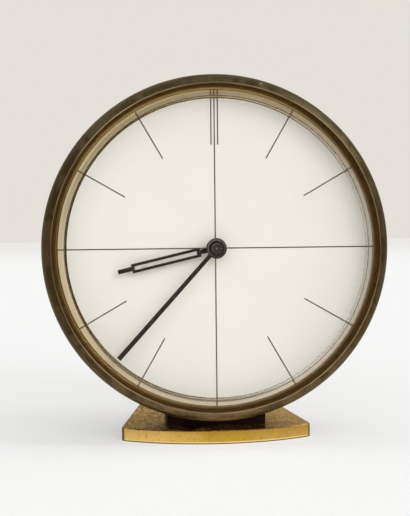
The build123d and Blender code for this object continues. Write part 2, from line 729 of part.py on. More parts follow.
# Bezel: skirt over the drum, rounded outer band, ridge and hollow inner slope down to the lip
skirt_bore = DRUM_RADIUS + FIT_CLEARANCE
slope_middle = ((BEZEL_RIDGE_INNER + BEZEL_LIP_RADIUS) / 2, (RIDGE_LEVEL + LIP_LEVEL) / 2)
slope_hollow = BEZEL_HOLLOW_SHARE * BEZEL_SLOPE_WIDTH
with BuildPart() as bezel:
    with BuildSketch(turning()):
        with BuildLine():
            Line((skirt_bore, SKIRT_END), (BEZEL_RADIUS, SKIRT_END))
            Line((BEZEL_RADIUS, SKIRT_END), (BEZEL_RADIUS, BEZEL_CURVE_LEVEL))
            TangentArc(
                (BEZEL_RADIUS, BEZEL_CURVE_LEVEL), (BEZEL_RIDGE_RADIUS, RIDGE_LEVEL), tangent=(0, 1)
            )
            Line((BEZEL_RIDGE_RADIUS, RIDGE_LEVEL), (BEZEL_RIDGE_INNER, RIDGE_LEVEL))
            ThreePointArc(
                (BEZEL_RIDGE_INNER, RIDGE_LEVEL),
                (slope_middle[0] + slope_hollow, slope_middle[1] - slope_hollow),
                (BEZEL_LIP_RADIUS, LIP_LEVEL),
            )
            Polyline(
                (BEZEL_LIP_RADIUS, LIP_LEVEL),
                (BEZEL_LIP_RADIUS, CRYSTAL_SEAT),
                (DRUM_BORE, CRYSTAL_SEAT),
                (DRUM_BORE, SPACER_HEIGHT),
                (skirt_bore, SPACER_HEIGHT),
                (skirt_bore, SKIRT_END),
            )
        make_face()
    revolve(axis=spindle())
save(bezel, "bezel")

# Crystal: flange under the lip, sloped wall and a slightly domed top
inner_shoulder = CRYSTAL_SHOULDER - CRYSTAL_WALL
inner_foot = CRYSTAL_LIP - CRYSTAL_WALL
with BuildPart() as crystal:
    with BuildSketch(turning()):
        with BuildLine():
            Polyline(
                (0, SHOULDER_LEVEL + CRYSTAL_DOME - CRYSTAL_TOP),
                (0, SHOULDER_LEVEL + CRYSTAL_DOME),
            )
            TangentArc(
                (0, SHOULDER_LEVEL + CRYSTAL_DOME), (CRYSTAL_SHOULDER, SHOULDER_LEVEL), tangent=(1, 0)
            )
            Polyline(
                (CRYSTAL_SHOULDER, SHOULDER_LEVEL),
                (CRYSTAL_LIP, LIP_LEVEL),
                (CRYSTAL_LIP, CRYSTAL_SEAT),
                (STACK_RADIUS, CRYSTAL_SEAT),
                (STACK_RADIUS, SPACER_HEIGHT),
                (inner_foot, SPACER_HEIGHT),
                (inner_foot, CRYSTAL_SEAT),
                (inner_shoulder, SHOULDER_LEVEL - CRYSTAL_TOP),
            )
            TangentArc(
                (0, SHOULDER_LEVEL + CRYSTAL_DOME - CRYSTAL_TOP),
                (inner_shoulder, SHOULDER_LEVEL - CRYSTAL_TOP),
                tangent=(1, 0),
            )
        make_face()
    revolve(axis=spindle())
save(crystal, "crystal")

# Ring between crystal and dial
with BuildPart() as spacer_ring:
    disc(STACK_RADIUS, SPACER_HEIGHT, 0)
    bore(STACK_RADIUS - SPACER_WALL, SPACER_HEIGHT, 0)
save(spacer_ring, "spacer_ring")

# Dial
with BuildPart() as dial:
    disc(STACK_RADIUS, 0, CARRIER_FRONT)
    bore(DIAL_HOLE, 0, CARRIER_FRONT)
save(dial, "dial")

# Printed lines: crosshair, short lines for the other hours and the two side lines at twelve
with BuildPart() as dial_markings:
    with BuildSketch(facing(0)):
        with PolarLocations((DIAL_HOLE + PRINT_RADIUS) / 2, QUARTERS):
            Rectangle(PRINT_RADIUS - DIAL_HOLE, LINE_WIDTH)
    extrude(amount=PRINT_HEIGHT)
    with BuildSketch(facing(0)):
        for start in (HOUR_STEP, 2 * HOUR_STEP):
            with PolarLocations((HOUR_LINE_INNER + PRINT_RADIUS) / 2, QUARTERS, start):
                Rectangle(HOUR_LINE_LENGTH, LINE_WIDTH)
        for side in (-TRIPLE_OFFSET, TRIPLE_OFFSET):
            with Locations((side, (HOUR_LINE_INNER + PRINT_RADIUS) / 2)):
                Rectangle(LINE_WIDTH, HOUR_LINE_LENGTH)
    extrude(amount=PRINT_HEIGHT)
save(dial_markings, "dial_markings")

# Carrier plate behind the dial
with BuildPart() as carrier_plate:
    disc(STACK_RADIUS, CARRIER_FRONT, CARRIER_BACK)
    bore(CARRIER_HOLE, CARRIER_FRONT, CARRIER_BACK)
    for angle in POST_ANGLES:
        bore(SMALL_SCREW + FIT_CLEARANCE, CARRIER_FRONT, CARRIER_BACK, away(CENTRE, POST_CIRCLE, angle))
        disc(
            SMALL_HEAD + FIT_CLEARANCE,
            CARRIER_FRONT + OVERRUN,
            CARRIER_FRONT - CARRIER_THICKNESS / 2,
            away(CENTRE, POST_CIRCLE, angle),
            Mode.SUBTRACT,
        )
save(carrier_plate, "carrier_plate")

# Posts between carrier and front plate, each riveted into the plate
post_screw_end = CARRIER_BACK - MOTION_SPACE / 2
with BuildPart() as carrier_posts:
    for angle in POST_ANGLES:
        stepped(
            away(CENTRE, POST_CIRCLE, angle),
            CARRIER_BACK,
            ((POST_RADIUS, FRONT_PLATE_FRONT), (POST_STUB, FRONT_PLATE_BACK)),
        )
        disc(
            SMALL_SCREW,
            CARRIER_BACK + OVERRUN,
            post_screw_end,
            away(CENTRE, POST_CIRCLE, angle),
            Mode.SUBTRACT,
        )
save(carrier_posts, "carrier_posts")

# Screws that hold the carrier on the posts, their heads sunk flush
with BuildPart() as carrier_screws:
    for angle in POST_ANGLES:
        stepped(
            away(CENTRE, POST_CIRCLE, angle),
            CARRIER_FRONT,
            ((SMALL_HEAD, CARRIER_FRONT - CARRIER_THICKNESS / 2), (SMALL_SCREW, post_screw_end)),
        )
save(carrier_screws, "carrier_screws")

# Movement plates
PIVOT_PLACES = (INTERMEDIATE, THIRD, FOURTH, ESCAPE, LEVER)
banking_reach = BANKING_REACH_SHARE * BALANCE_DISTANCE
banking_side = (
    LEVER_WIDTH / 2
    + banking_reach * math.tan(math.radians(LEVER_SWING))
    + BANKING_PIN
    + BANKING_CLEARANCE
)
banking_middle = away(LEVER, banking_reach, LEVER_ANGLE)
BANKING_PLACES = [away(banking_middle, side, LEVER_ANGLE + 90) for side in (-banking_side, banking_side)]
with BuildPart() as front_plate:
    disc(PLATE_RADIUS, FRONT_PLATE_FRONT, FRONT_PLATE_BACK)
    for at in PIVOT_PLACES:
        bore(PIVOT_RADIUS + RUNNING_CLEARANCE, FRONT_PLATE_FRONT, FRONT_PLATE_BACK, at)
    for angle in PILLAR_ANGLES:
        bore(PILLAR_STUB, FRONT_PLATE_FRONT, FRONT_PLATE_BACK, away(CENTRE, PILLAR_CIRCLE, angle))
    for angle in POST_ANGLES:
        bore(POST_STUB, FRONT_PLATE_FRONT, FRONT_PLATE_BACK, away(CENTRE, POST_CIRCLE, angle))
    bore(WINDING_PIVOT + RUNNING_CLEARANCE, FRONT_PLATE_FRONT, FRONT_PLATE_BACK, BARREL)
    bore(CENTRE_PIPE + RUNNING_CLEARANCE, FRONT_PLATE_FRONT, FRONT_PLATE_BACK)
    bore(BALANCE_SCREW, FRONT_PLATE_FRONT, FRONT_PLATE_BACK, BALANCE)
    bore(MINUTE_STUD, FRONT_PLATE_FRONT, FRONT_PLATE_BACK, MINUTE_WHEEL)
    for at in BANKING_PLACES:
        bore(BANKING_PIN, FRONT_PLATE_FRONT, FRONT_PLATE_BACK, at)
save(front_plate, "front_plate")

# The back plate has a window for the regulator's curb pin and a hole for the hairspring stud
hair_outer = abs(spiral_end(HAIR_START, HAIR_PITCH, HAIR_HALF_TURNS)) + HAIR_STRIP / 2
curb_circle = hair_outer + CURB_CLEARANCE + CURB_PIN
curb_angle = REGULATOR_ANGLE + 180
stud_circle = hair_outer + HAIR_STUD_GAP + HAIR_STUD
HAIR_STUD_AT = away(BALANCE, stud_circle, 0)
click_spring_at = away(CLICK, CLICK_REACH, CLICK_BEARING + 90)
with BuildPart() as back_plate:
    disc(PLATE_RADIUS, BACK_PLATE_FRONT, BACK_PLATE_BACK)
    for at in PIVOT_PLACES:
        bore(PIVOT_RADIUS + RUNNING_CLEARANCE, BACK_PLATE_FRONT, BACK_PLATE_BACK, at)
    for angle in PILLAR_ANGLES:
        bore(
            SMALL_SCREW + FIT_CLEARANCE, BACK_PLATE_FRONT, BACK_PLATE_BACK, away(CENTRE, PILLAR_CIRCLE, angle)
        )
    bore(WINDING_REAR + RUNNING_CLEARANCE, BACK_PLATE_FRONT, BACK_PLATE_BACK, BARREL)
    bore(CENTRE_PIPE + RUNNING_CLEARANCE, BACK_PLATE_FRONT, BACK_PLATE_BACK)
    bore(BALANCE_SCREW, BACK_PLATE_FRONT, BACK_PLATE_BACK, BALANCE)
    bore(HAIR_STUD, BACK_PLATE_FRONT, BACK_PLATE_BACK, HAIR_STUD_AT)
    bore(CLICK_STUD, BACK_PLATE_FRONT, BACK_PLATE_BACK, CLICK)
    bore(CLICK_STUD, BACK_PLATE_FRONT, BACK_PLATE_BACK, click_spring_at)
    arc_slot(BACK_PLATE_FRONT, BACK_PLATE_BACK, curb_circle, CURB_PIN + SLOT_CLEARANCE, curb_angle)
save(back_plate, "back_plate")

# Pillars, riveted into the front plate and tapped behind
with BuildPart() as pillars:
    for angle in PILLAR_ANGLES:
        stepped(
            away(CENTRE, PILLAR_CIRCLE, angle),
            FRONT_PLATE_FRONT,
            ((PILLAR_STUB, FRONT_PLATE_BACK), (PILLAR_RADIUS, BACK_PLATE_FRONT)),
        )
        disc(
            SMALL_SCREW,
            BACK_PLATE_FRONT + SMALL_SCREW_DEPTH,
            BACK_PLATE_FRONT - OVERRUN,
            away(CENTRE, PILLAR_CIRCLE, angle),
            Mode.SUBTRACT,
        )
save(pillars, "pillars")

# Screws that hold the back plate on the pillars
pillar_head_back = BACK_PLATE_BACK - SMALL_HEAD_HEIGHT
with BuildPart() as pillar_screws:
    for angle in PILLAR_ANGLES:
        stepped(
            away(CENTRE, PILLAR_CIRCLE, angle),
            BACK_PLATE_FRONT + SMALL_SCREW_DEPTH,
            ((SMALL_SCREW, BACK_PLATE_BACK), (SMALL_HEAD, pillar_head_back)),
        )
        slot(SMALL_HEAD, pillar_head_back, away(CENTRE, PILLAR_CIRCLE, angle), angle, SMALL_HEAD_HEIGHT / 2)
save(pillar_screws, "pillar_screws")

# Back cover with holes for the arbors and an arc for the regulator's pin
with BuildPart() as back_cover:
    turned(
        (
            (0, PAN_FRONT),
            (COVER_PAN_RADIUS, PAN_FRONT),
            (COVER_PAN_RADIUS + COVER_PAN_DEPTH, LUG_BACK),
            (STACK_RADIUS, LUG_BACK),
            (STACK_RADIUS, COVER_BACK),
            (COVER_PAN_RADIUS + COVER_PAN_DEPTH, COVER_BACK),
            (COVER_PAN_RADIUS, PAN_BACK),
            (0, PAN_BACK),
        )
    )
    bore(MINUTE_ARBOR + KEY_HOLE_CLEARANCE, PAN_FRONT, PAN_BACK)
    bore(WINDING_REAR + KEY_HOLE_CLEARANCE, PAN_FRONT, PAN_BACK, BARREL)
    for number in range(LUG_COUNT):
        bore(
            COVER_SCREW + FIT_CLEARANCE,
            LUG_BACK,
            COVER_BACK,
            away(CENTRE, LUG_CIRCLE, LUG_START + 360 * number / LUG_COUNT),
        )
    arc_slot(PAN_FRONT, PAN_BACK, REGULATOR_ARM, REGULATOR_PIN + SLOT_CLEARANCE, REGULATOR_ANGLE)
save(back_cover, "back_cover")

# Screws of the back cover
cover_head_back = COVER_BACK - COVER_HEAD_HEIGHT
with BuildPart() as cover_screws:
    for number in range(LUG_COUNT):
        angle = LUG_START + 360 * number / LUG_COUNT
        at = away(CENTRE, LUG_CIRCLE, angle)
        stepped(at, LUG_BACK + COVER_SCREW_DEPTH, ((COVER_SCREW, COVER_BACK), (COVER_HEAD, cover_head_back)))
        slot(COVER_HEAD, cover_head_back, at, angle + LUG_START / 2, COVER_HEAD_HEIGHT / 2)
save(cover_screws, "cover_screws")

# Mainspring barrel: toothed floor in front, wall behind it
barrel_outer = BARREL_TEETH * BARREL_MODULE / 2 - WHEEL_DEDENDUM_SHARE * BARREL_MODULE
barrel_bore = barrel_outer - BARREL_WALL
arbor_bore = WINDING_ARBOR + RUNNING_CLEARANCE
with BuildPart() as barrel:
    wheel_gear(BARREL_TEETH, BARREL_MODULE, BARREL_FRONT, BARREL_TOOTH_RING, BARREL, BARREL_ANGLE + 180)
    disc(barrel_outer, BARREL_FRONT, BARREL_BACK, BARREL)
    disc(barrel_bore, BARREL_FRONT - BARREL_FLOOR, BARREL_BACK - OVERRUN, BARREL, Mode.SUBTRACT)
    bore(arbor_bore, BARREL_FRONT, BARREL_BACK, BARREL)
save(barrel, "barrel")

with BuildPart() as barrel_cover:
    disc(barrel_bore, BARREL_BACK + BARREL_COVER, BARREL_BACK, BARREL)
    bore(arbor_bore, BARREL_BACK + BARREL_COVER, BARREL_BACK, BARREL)
save(barrel_cover, "barrel_cover")

# Mainspring, wound from the arbor out to the barrel's wall
spring_start = WINDING_ARBOR + SPRING_END_GAP
spring_room = barrel_bore - SPRING_STRIP / 2 - spring_start
spring_half_turns = 2 * int(spring_room / SPRING_PITCH) - 1
spring_front = BARREL_FRONT - BARREL_FLOOR - SPRING_SIDE_GAP
spring_back = BARREL_BACK + BARREL_COVER + SPRING_SIDE_GAP
with BuildPart() as mainspring:
    with BuildSketch(facing(spring_back, BARREL)):
        spiral(spring_start, SPRING_PITCH, spring_half_turns, SPRING_STRIP)
    extrude(amount=spring_front - spring_back)
save(mainspring, "mainspring")

# Winding arbor: front pivot, body in the barrel, rear part with the ratchet's seat and the key's square
ratchet_front = BACK_PLATE_BACK - RATCHET_GAP
ratchet_back = ratchet_front - RATCHET_THICKNESS
key_front = PAN_BACK - KEY_GAP
key_back = key_front - KEY_HUB_LENGTH
with BuildPart() as winding_arbor:
    stepped(
        BARREL,
        FRONT_PLATE_FRONT,
        ((WINDING_PIVOT, ARBOR_FRONT), (WINDING_ARBOR, ARBOR_BACK), (WINDING_REAR, key_front)),
    )
    with BuildSketch(facing(key_back, BARREL)):
        Rectangle(WINDING_SQUARE, WINDING_SQUARE)
    extrude(amount=KEY_HUB_LENGTH)
save(winding_arbor, "winding_arbor")

# Ratchet wheel with raked teeth
ratchet_root = RATCHET_TIP - RATCHET_TOOTH
ratchet_points = []
for number in range(RATCHET_TEETH):
    turn = 2 * math.pi * number / RATCHET_TEETH
    ratchet_points.append((ratchet_root * math.cos(turn), ratchet_root * math.sin(turn)))
    ratchet_points.append((RATCHET_TIP * math.cos(turn), RATCHET_TIP * math.sin(turn)))
with BuildPart() as ratchet_wheel:
    gear(ratchet_points, ratchet_front, RATCHET_THICKNESS, BARREL)
    bore(WINDING_REAR, ratchet_front, ratchet_back, BARREL)
save(ratchet_wheel, "ratchet_wheel")

# Winding key: hub on the square and a wing with two eyes
key_middle = key_back - KEY_HEIGHT / 2 + EDGE_BREAK
with BuildPart() as winding_key:
    disc(KEY_HUB, key_front, key_back, BARREL)
    with BuildSketch(turning(BARREL)):
        with Locations((0, key_middle)):
            SlotOverall(KEY_SPAN, KEY_HEIGHT)
        with Locations((-KEY_EYE_SPREAD, key_middle), (KEY_EYE_SPREAD, key_middle)):
            Circle(KEY_EYE, mode=Mode.SUBTRACT)
    extrude(amount=KEY_THICKNESS / 2, both=True)
    with BuildSketch(facing(key_back, BARREL)):
        Rectangle(WINDING_SQUARE, WINDING_SQUARE)
    extrude(amount=KEY_HUB_LENGTH + OVERRUN, mode=Mode.SUBTRACT)
save(winding_key, "winding_key")

# Click beside the ratchet wheel, drawn at the top of its lift over the teeth
beak_circle = RATCHET_TIP + CLICK_CLEARANCE
beak_turn = CLICK_BEARING + math.degrees(math.acos(beak_circle / CLICK_REACH))
beak = away(BARREL, beak_circle, beak_turn)
beak_reach = math.hypot(beak[0] - CLICK[0], beak[1] - CLICK[1])
beak_angle = math.degrees(math.atan2(beak[1] - CLICK[1], beak[0] - CLICK[0]))
with BuildPart() as click:
    with BuildSketch(facing(ratchet_back, CLICK, beak_angle)):
        Circle(CLICK_HUB)
        with BuildLine():
            Polyline(
                (0, 0),
                (beak_reach, 0),
                (beak_reach, -CLICK_BEAK),
                (beak_reach / 2, -CLICK_WIDTH),
                (0, -CLICK_HUB),
                close=True,
            )
        make_face()
        Circle(CLICK_STUD + RUNNING_CLEARANCE, mode=Mode.SUBTRACT)
    extrude(amount=RATCHET_THICKNESS)
save(click, "click")

with BuildPart() as click_screw:
    stepped(
        CLICK,
        BACK_PLATE_FRONT,
        (
            (CLICK_STUD, BACK_PLATE_BACK),
            (CLICK_HUB, ratchet_front),
            (CLICK_STUD, ratchet_back - RATCHET_GAP),
            (CLICK_HUB, ratchet_back - RATCHET_GAP - CLICK_HEAD_HEIGHT),
        ),
    )
save(click_screw, "click_screw")

# Click spring: a foot in the back plate and a straight wire against the click's outer side
spring_touch = away(away(CLICK, beak_reach / 2, beak_angle), CLICK_WIDTH + CLICK_SPRING_GAP, beak_angle - 90)
wire_length = math.hypot(click_spring_at[0] - spring_touch[0], click_spring_at[1] - spring_touch[1])
wire_angle = math.degrees(
    math.atan2(spring_touch[1] - click_spring_at[1], spring_touch[0] - click_spring_at[0])
)
with BuildPart() as click_spring:
    stepped(
        click_spring_at,
        BACK_PLATE_FRONT,
        ((CLICK_STUD, BACK_PLATE_BACK), (CLICK_SPRING_FOOT, ratchet_back)),
    )
    with BuildSketch(facing(ratchet_back, click_spring_at, wire_angle)):
        with Locations((wire_length / 2, 0)):
            Rectangle(wire_length, CLICK_SPRING_WIRE)
    extrude(amount=RATCHET_THICKNESS)
save(click_spring, "click_spring")

# Intermediate arbor, between barrel and centre pinion
with BuildPart() as intermediate_pinion:
    train_arbor(INTERMEDIATE_LEAVES, BARREL_MODULE, BARREL_FRONT, INTERMEDIATE, BARREL_ANGLE)
save(intermediate_pinion, "intermediate_pinion")

with BuildPart() as intermediate_wheel:
    train_wheel(
        INTERMEDIATE_TEETH,
        INTERMEDIATE_MODULE,
        INTERMEDIATE_FRONT,
        INTERMEDIATE,
        INTERMEDIATE_ANGLE + 180,
        ARBOR_RADIUS,
    )
save(intermediate_wheel, "intermediate_wheel")

# Centre wheel on a hollow pinion, round the minute arbor
centre_pipe_bore = MINUTE_ARBOR + RUNNING_CLEARANCE
with BuildPart() as centre_pinion:
    disc(CENTRE_PIPE, FRONT_PLATE_FRONT, BACK_PLATE_BACK)
    pinion_gear(
        CENTRE_LEAVES,
        INTERMEDIATE_MODULE,
        INTERMEDIATE_FRONT + PINION_OVERHANG,
        WHEEL_THICKNESS + 2 * PINION_OVERHANG,
        CENTRE,
        INTERMEDIATE_ANGLE,
    )
    bore(centre_pipe_bore, FRONT_PLATE_FRONT, BACK_PLATE_BACK)
save(centre_pinion, "centre_pinion")

with BuildPart() as centre_wheel:
    train_wheel(CENTRE_TEETH, CENTRE_MODULE, CENTRE_FRONT, CENTRE, THIRD_ANGLE, CENTRE_PIPE)
save(centre_wheel, "centre_wheel")

# Third arbor
with BuildPart() as third_pinion:
    train_arbor(THIRD_LEAVES, CENTRE_MODULE, CENTRE_FRONT, THIRD, THIRD_ANGLE + 180)
save(third_pinion, "third_pinion")

with BuildPart() as third_wheel:
    train_wheel(THIRD_TEETH, THIRD_MODULE, THIRD_FRONT, THIRD, FOURTH_ANGLE, ARBOR_RADIUS)
save(third_wheel, "third_wheel")

# Fourth arbor, one turn a minute
with BuildPart() as fourth_pinion:
    train_arbor(FOURTH_LEAVES, THIRD_MODULE, THIRD_FRONT, FOURTH, FOURTH_ANGLE + 180)
save(fourth_pinion, "fourth_pinion")

with BuildPart() as fourth_wheel:
    train_wheel(FOURTH_TEETH, FOURTH_MODULE, FOURTH_FRONT, FOURTH, ESCAPE_ANGLE, ARBOR_RADIUS)
save(fourth_wheel, "fourth_wheel")

# Escape arbor
with BuildPart() as escape_pinion:
    train_arbor(ESCAPE_LEAVES, FOURTH_MODULE, FOURTH_FRONT, ESCAPE, ESCAPE_ANGLE + 180)
save(escape_pinion, "escape_pinion")

escape_root = ESCAPE_TIP - ESCAPE_TOOTH
escape_points = []
escape_step = 2 * math.pi / ESCAPE_TEETH
for number in range(ESCAPE_TEETH):
    turn = escape_step * number
    for radius, share in (
        (escape_root, 0),
        (ESCAPE_TIP, ESCAPE_LEAN_SHARE),
        (ESCAPE_TIP, ESCAPE_LEAN_SHARE + ESCAPE_TOOTH_TIP_SHARE),
        (escape_root, ESCAPE_TOOTH_ROOT_SHARE),
    ):
        escape_points.append(
            (radius * math.cos(turn + share * escape_step), radius * math.sin(turn + share * escape_step))
        )
with BuildPart() as escape_wheel:
    gear(escape_points, ESCAPE_FRONT, WHEEL_THICKNESS, ESCAPE)
    bore(ARBOR_RADIUS, ESCAPE_FRONT, ESCAPE_FRONT - WHEEL_THICKNESS, ESCAPE)
save(escape_wheel, "escape_wheel")

# Pallet lever with its arbor, two pallet pins that stand clear of the escape wheel, and the fork
pallet_circle = ESCAPE_TIP + PALLET_CLEARANCE + PALLET_PIN
PALLET_PLACES = [away(ESCAPE, pallet_circle, LEVER_ANGLE + side) for side in (-PALLET_SPREAD, PALLET_SPREAD)]
fork_end = BALANCE_DISTANCE - IMPULSE_RADIUS - IMPULSE_PIN - FORK_CLEARANCE
lever_back = ESCAPE_FRONT - WHEEL_THICKNESS
pallet_along = LEVER_DISTANCE - pallet_circle * math.cos(math.radians(PALLET_SPREAD))
pallet_side = pallet_circle * math.sin(math.radians(PALLET_SPREAD))
pallet_reach = math.hypot(pallet_along, pallet_side)
pallet_turn = math.degrees(math.atan2(pallet_side, pallet_along))
lever_front = ESCAPE_FRONT + WHEEL_THICKNESS + PINION_OVERHANG
with BuildPart() as pallet_lever:
    arbor(LEVER)
    with BuildSketch(facing(lever_front, LEVER, LEVER_ANGLE)):
        Circle(LEVER_HUB)
        with Locations((fork_end / 2, 0)):
            Rectangle(fork_end, LEVER_WIDTH)
        with Locations((fork_end - FORK_LENGTH / 2, 0)):
            Rectangle(FORK_LENGTH, FORK_WIDTH)
        with Locations((fork_end - FORK_SLOT_DEPTH / 2, 0)):
            Rectangle(FORK_SLOT_DEPTH, FORK_SLOT, mode=Mode.SUBTRACT)
        for side in (-1, 1):
            with Locations((-pallet_along, side * pallet_side)):
                Circle(PALLET_EYE)
            with PolarLocations(pallet_reach / 2, 1, 180 + side * pallet_turn):
                Rectangle(pallet_reach, LEVER_WIDTH)
    extrude(amount=WHEEL_THICKNESS)
    for at in PALLET_PLACES:
        disc(PALLET_PIN, lever_front, lever_back, at)
save(pallet_lever, "pallet_lever")

# Pins that bound the lever's swing
with BuildPart() as banking_pins:
    for at in BANKING_PLACES:
        disc(BANKING_PIN, FRONT_PLATE_FRONT, lever_front, at)
save(banking_pins, "banking_pins")

# Balance staff with roller and impulse pin
staff_front = FRONT_PLATE_BACK - BALANCE_SCREW_REACH
staff_back = BACK_PLATE_FRONT + BALANCE_SCREW_REACH
with BuildPart() as balance_staff:
    stepped(
        BALANCE,
        staff_front + PIVOT_DEPTH,
        (
            (STAFF_PIVOT, staff_front - END_SHAKE),
            (STAFF_RADIUS, ROLLER_FRONT),
            (ROLLER_RADIUS, ROLLER_FRONT - ROLLER_THICKNESS),
            (STAFF_RADIUS, staff_back + END_SHAKE),
            (STAFF_PIVOT, staff_back - PIVOT_DEPTH),
        ),
    )
    disc(
        IMPULSE_PIN,
        lever_front + WHEEL_THICKNESS,
        ROLLER_FRONT,
        away(BALANCE, IMPULSE_RADIUS, LEVER_ANGLE + 180),
    )
save(balance_staff, "balance_staff")

with BuildPart() as balance_wheel:
    with BuildSketch(facing(BALANCE_FRONT - BALANCE_THICKNESS, BALANCE)):
        Circle(BALANCE_RADIUS)
        Circle(BALANCE_RADIUS - BALANCE_RIM, mode=Mode.SUBTRACT)
        Circle(WHEEL_HUB)
        with PolarLocations(BALANCE_RADIUS / 2, BALANCE_SPOKES):
            Rectangle(BALANCE_RADIUS - BALANCE_RIM, WHEEL_SPOKE)
        Circle(STAFF_RADIUS, mode=Mode.SUBTRACT)
    extrude(amount=BALANCE_THICKNESS)
save(balance_wheel, "balance_wheel")

# Hairspring and the stud that holds its outer end
with BuildPart() as hairspring:
    with BuildSketch(facing(HAIR_FRONT - HAIR_HEIGHT, BALANCE)):
        spiral(HAIR_START, HAIR_PITCH, HAIR_HALF_TURNS, HAIR_STRIP)
        with Locations(((HAIR_START + STAFF_RADIUS) / 2, 0)):
            Rectangle(HAIR_START - STAFF_RADIUS, HAIR_STRIP)
    extrude(amount=HAIR_HEIGHT)
save(hairspring, "hairspring")

with BuildPart() as hairspring_stud:
    disc(HAIR_STUD, HAIR_FRONT, BACK_PLATE_BACK, HAIR_STUD_AT)
save(hairspring_stud, "hairspring_stud")

# Screws in both plates in whose cups the balance turns; the rear one carries the regulator
balance_screw_back = BACK_PLATE_BACK - REGULATOR_THICKNESS - 2 * RUNNING_CLEARANCE
with BuildPart() as balance_screws:
    disc(BALANCE_SCREW, FRONT_PLATE_FRONT, staff_front, BALANCE)
    disc(STAFF_PIVOT + RUNNING_CLEARANCE, staff_front + 2 * PIVOT_DEPTH, staff_front, BALANCE, Mode.SUBTRACT)
    disc(BALANCE_SCREW, staff_back, balance_screw_back, BALANCE)
    disc(STAFF_PIVOT + RUNNING_CLEARANCE, staff_back, staff_back - 2 * PIVOT_DEPTH, BALANCE, Mode.SUBTRACT)
save(balance_screws, "balance_screws")

# Regulator lever with its curb pin and the pin that reaches through the back cover
regulator_front = BACK_PLATE_BACK - RUNNING_CLEARANCE
regulator_back = regulator_front - REGULATOR_THICKNESS
with BuildPart() as regulator:
    with BuildSketch(facing(regulator_back, BALANCE, REGULATOR_ANGLE)):
        Circle(REGULATOR_RING)
        with Locations((REGULATOR_ARM / 2, 0)):
            Rectangle(REGULATOR_ARM, REGULATOR_WIDTH)
        with Locations((REGULATOR_ARM, 0)):
            Circle(REGULATOR_PIN)
        with Locations((-curb_circle / 2, 0)):
            Rectangle(curb_circle, REGULATOR_WIDTH)
        with Locations((-curb_circle, 0)):
            Circle(REGULATOR_PIN)
        Circle(BALANCE_SCREW + RUNNING_CLEARANCE, mode=Mode.SUBTRACT)
    extrude(amount=REGULATOR_THICKNESS)
    disc(
        REGULATOR_PIN,
        regulator_front,
        PAN_BACK - REGULATOR_REACH,
        away(BALANCE, REGULATOR_ARM, REGULATOR_ANGLE),
    )
    disc(CURB_PIN, HAIR_FRONT, regulator_front, away(BALANCE, curb_circle, curb_angle))
save(regulator, "regulator")

# Motion work: cannon pinion, minute wheel and hour wheel
cannon_front = FRONT_PLATE_FRONT + MOTION_LIFT + WHEEL_THICKNESS + PINION_OVERHANG
minute_front = FRONT_PLATE_FRONT + MOTION_LIFT + WHEEL_THICKNESS
minute_hand_back = HOUR_HAND_LEVEL + HAND_SPACING
minute_hand_front = minute_hand_back + MINUTE_BOSS_HEIGHT
nut_front = minute_hand_front + HAND_NUT_HEIGHT
knob_front = PAN_BACK - KNOB_GAP
knob_grip_front = knob_front - KNOB_NECK_LENGTH
knob_back = knob_grip_front - KNOB_LENGTH
with BuildPart() as minute_arbor:
    disc(MINUTE_ARBOR, nut_front - HAND_NUT_CAP, knob_grip_front - KNOB_LENGTH / 2)
save(minute_arbor, "minute_arbor")

with BuildPart() as cannon_pinion:
    disc(CANNON_PIPE, minute_hand_front, FRONT_PLATE_FRONT + END_SHAKE)
    pinion_gear(
        CANNON_LEAVES,
        MOTION_MODULE,
        cannon_front,
        WHEEL_THICKNESS + PINION_OVERHANG,
        CENTRE,
        MINUTE_WHEEL_ANGLE,
    )
    bore(MINUTE_ARBOR, minute_hand_front, FRONT_PLATE_FRONT)
save(cannon_pinion, "cannon_pinion")

hour_back = minute_front + PINION_OVERHANG + END_SHAKE
stud_bore = MINUTE_STUD + RUNNING_CLEARANCE
minute_pinion_length = WHEEL_THICKNESS + PINION_OVERHANG + END_SHAKE
with BuildPart() as minute_wheel:
    wheel_gear(
        MINUTE_TEETH, MOTION_MODULE, minute_front, WHEEL_THICKNESS, MINUTE_WHEEL, MINUTE_WHEEL_ANGLE + 180
    )
    bore(stud_bore, minute_front, minute_front - WHEEL_THICKNESS, MINUTE_WHEEL)
save(minute_wheel, "minute_wheel")

with BuildPart() as minute_pinion:
    pinion_gear(
        MINUTE_LEAVES,
        HOUR_MODULE,
        minute_front + minute_pinion_length,
        minute_pinion_length,
        MINUTE_WHEEL,
        MINUTE_WHEEL_ANGLE + 180,
    )
    bore(stud_bore, minute_front + minute_pinion_length, minute_front, MINUTE_WHEEL)
save(minute_pinion, "minute_pinion")

stud_front = minute_front + minute_pinion_length + END_SHAKE
with BuildPart() as minute_stud:
    stepped(
        MINUTE_WHEEL,
        stud_front,
        (
            (MINUTE_STUD, minute_front - WHEEL_THICKNESS - END_SHAKE),
            (MINUTE_STUD + FIT_CLEARANCE + EDGE_BREAK, FRONT_PLATE_FRONT),
            (MINUTE_STUD, FRONT_PLATE_BACK),
        ),
    )
save(minute_stud, "minute_stud")

hour_pipe_bore = CANNON_PIPE + RUNNING_CLEARANCE
hour_pipe = hour_pipe_bore + HOUR_PIPE_WALL
hour_hand_front = HOUR_HAND_LEVEL + HAND_THICKNESS
with BuildPart() as hour_wheel:
    wheel_gear(
        HOUR_TEETH, HOUR_MODULE, hour_back + WHEEL_THICKNESS, WHEEL_THICKNESS, CENTRE, MINUTE_WHEEL_ANGLE
    )
    disc(hour_pipe, hour_hand_front, hour_back)
    bore(hour_pipe_bore, hour_hand_front, hour_back)
save(hour_wheel, "hour_wheel")

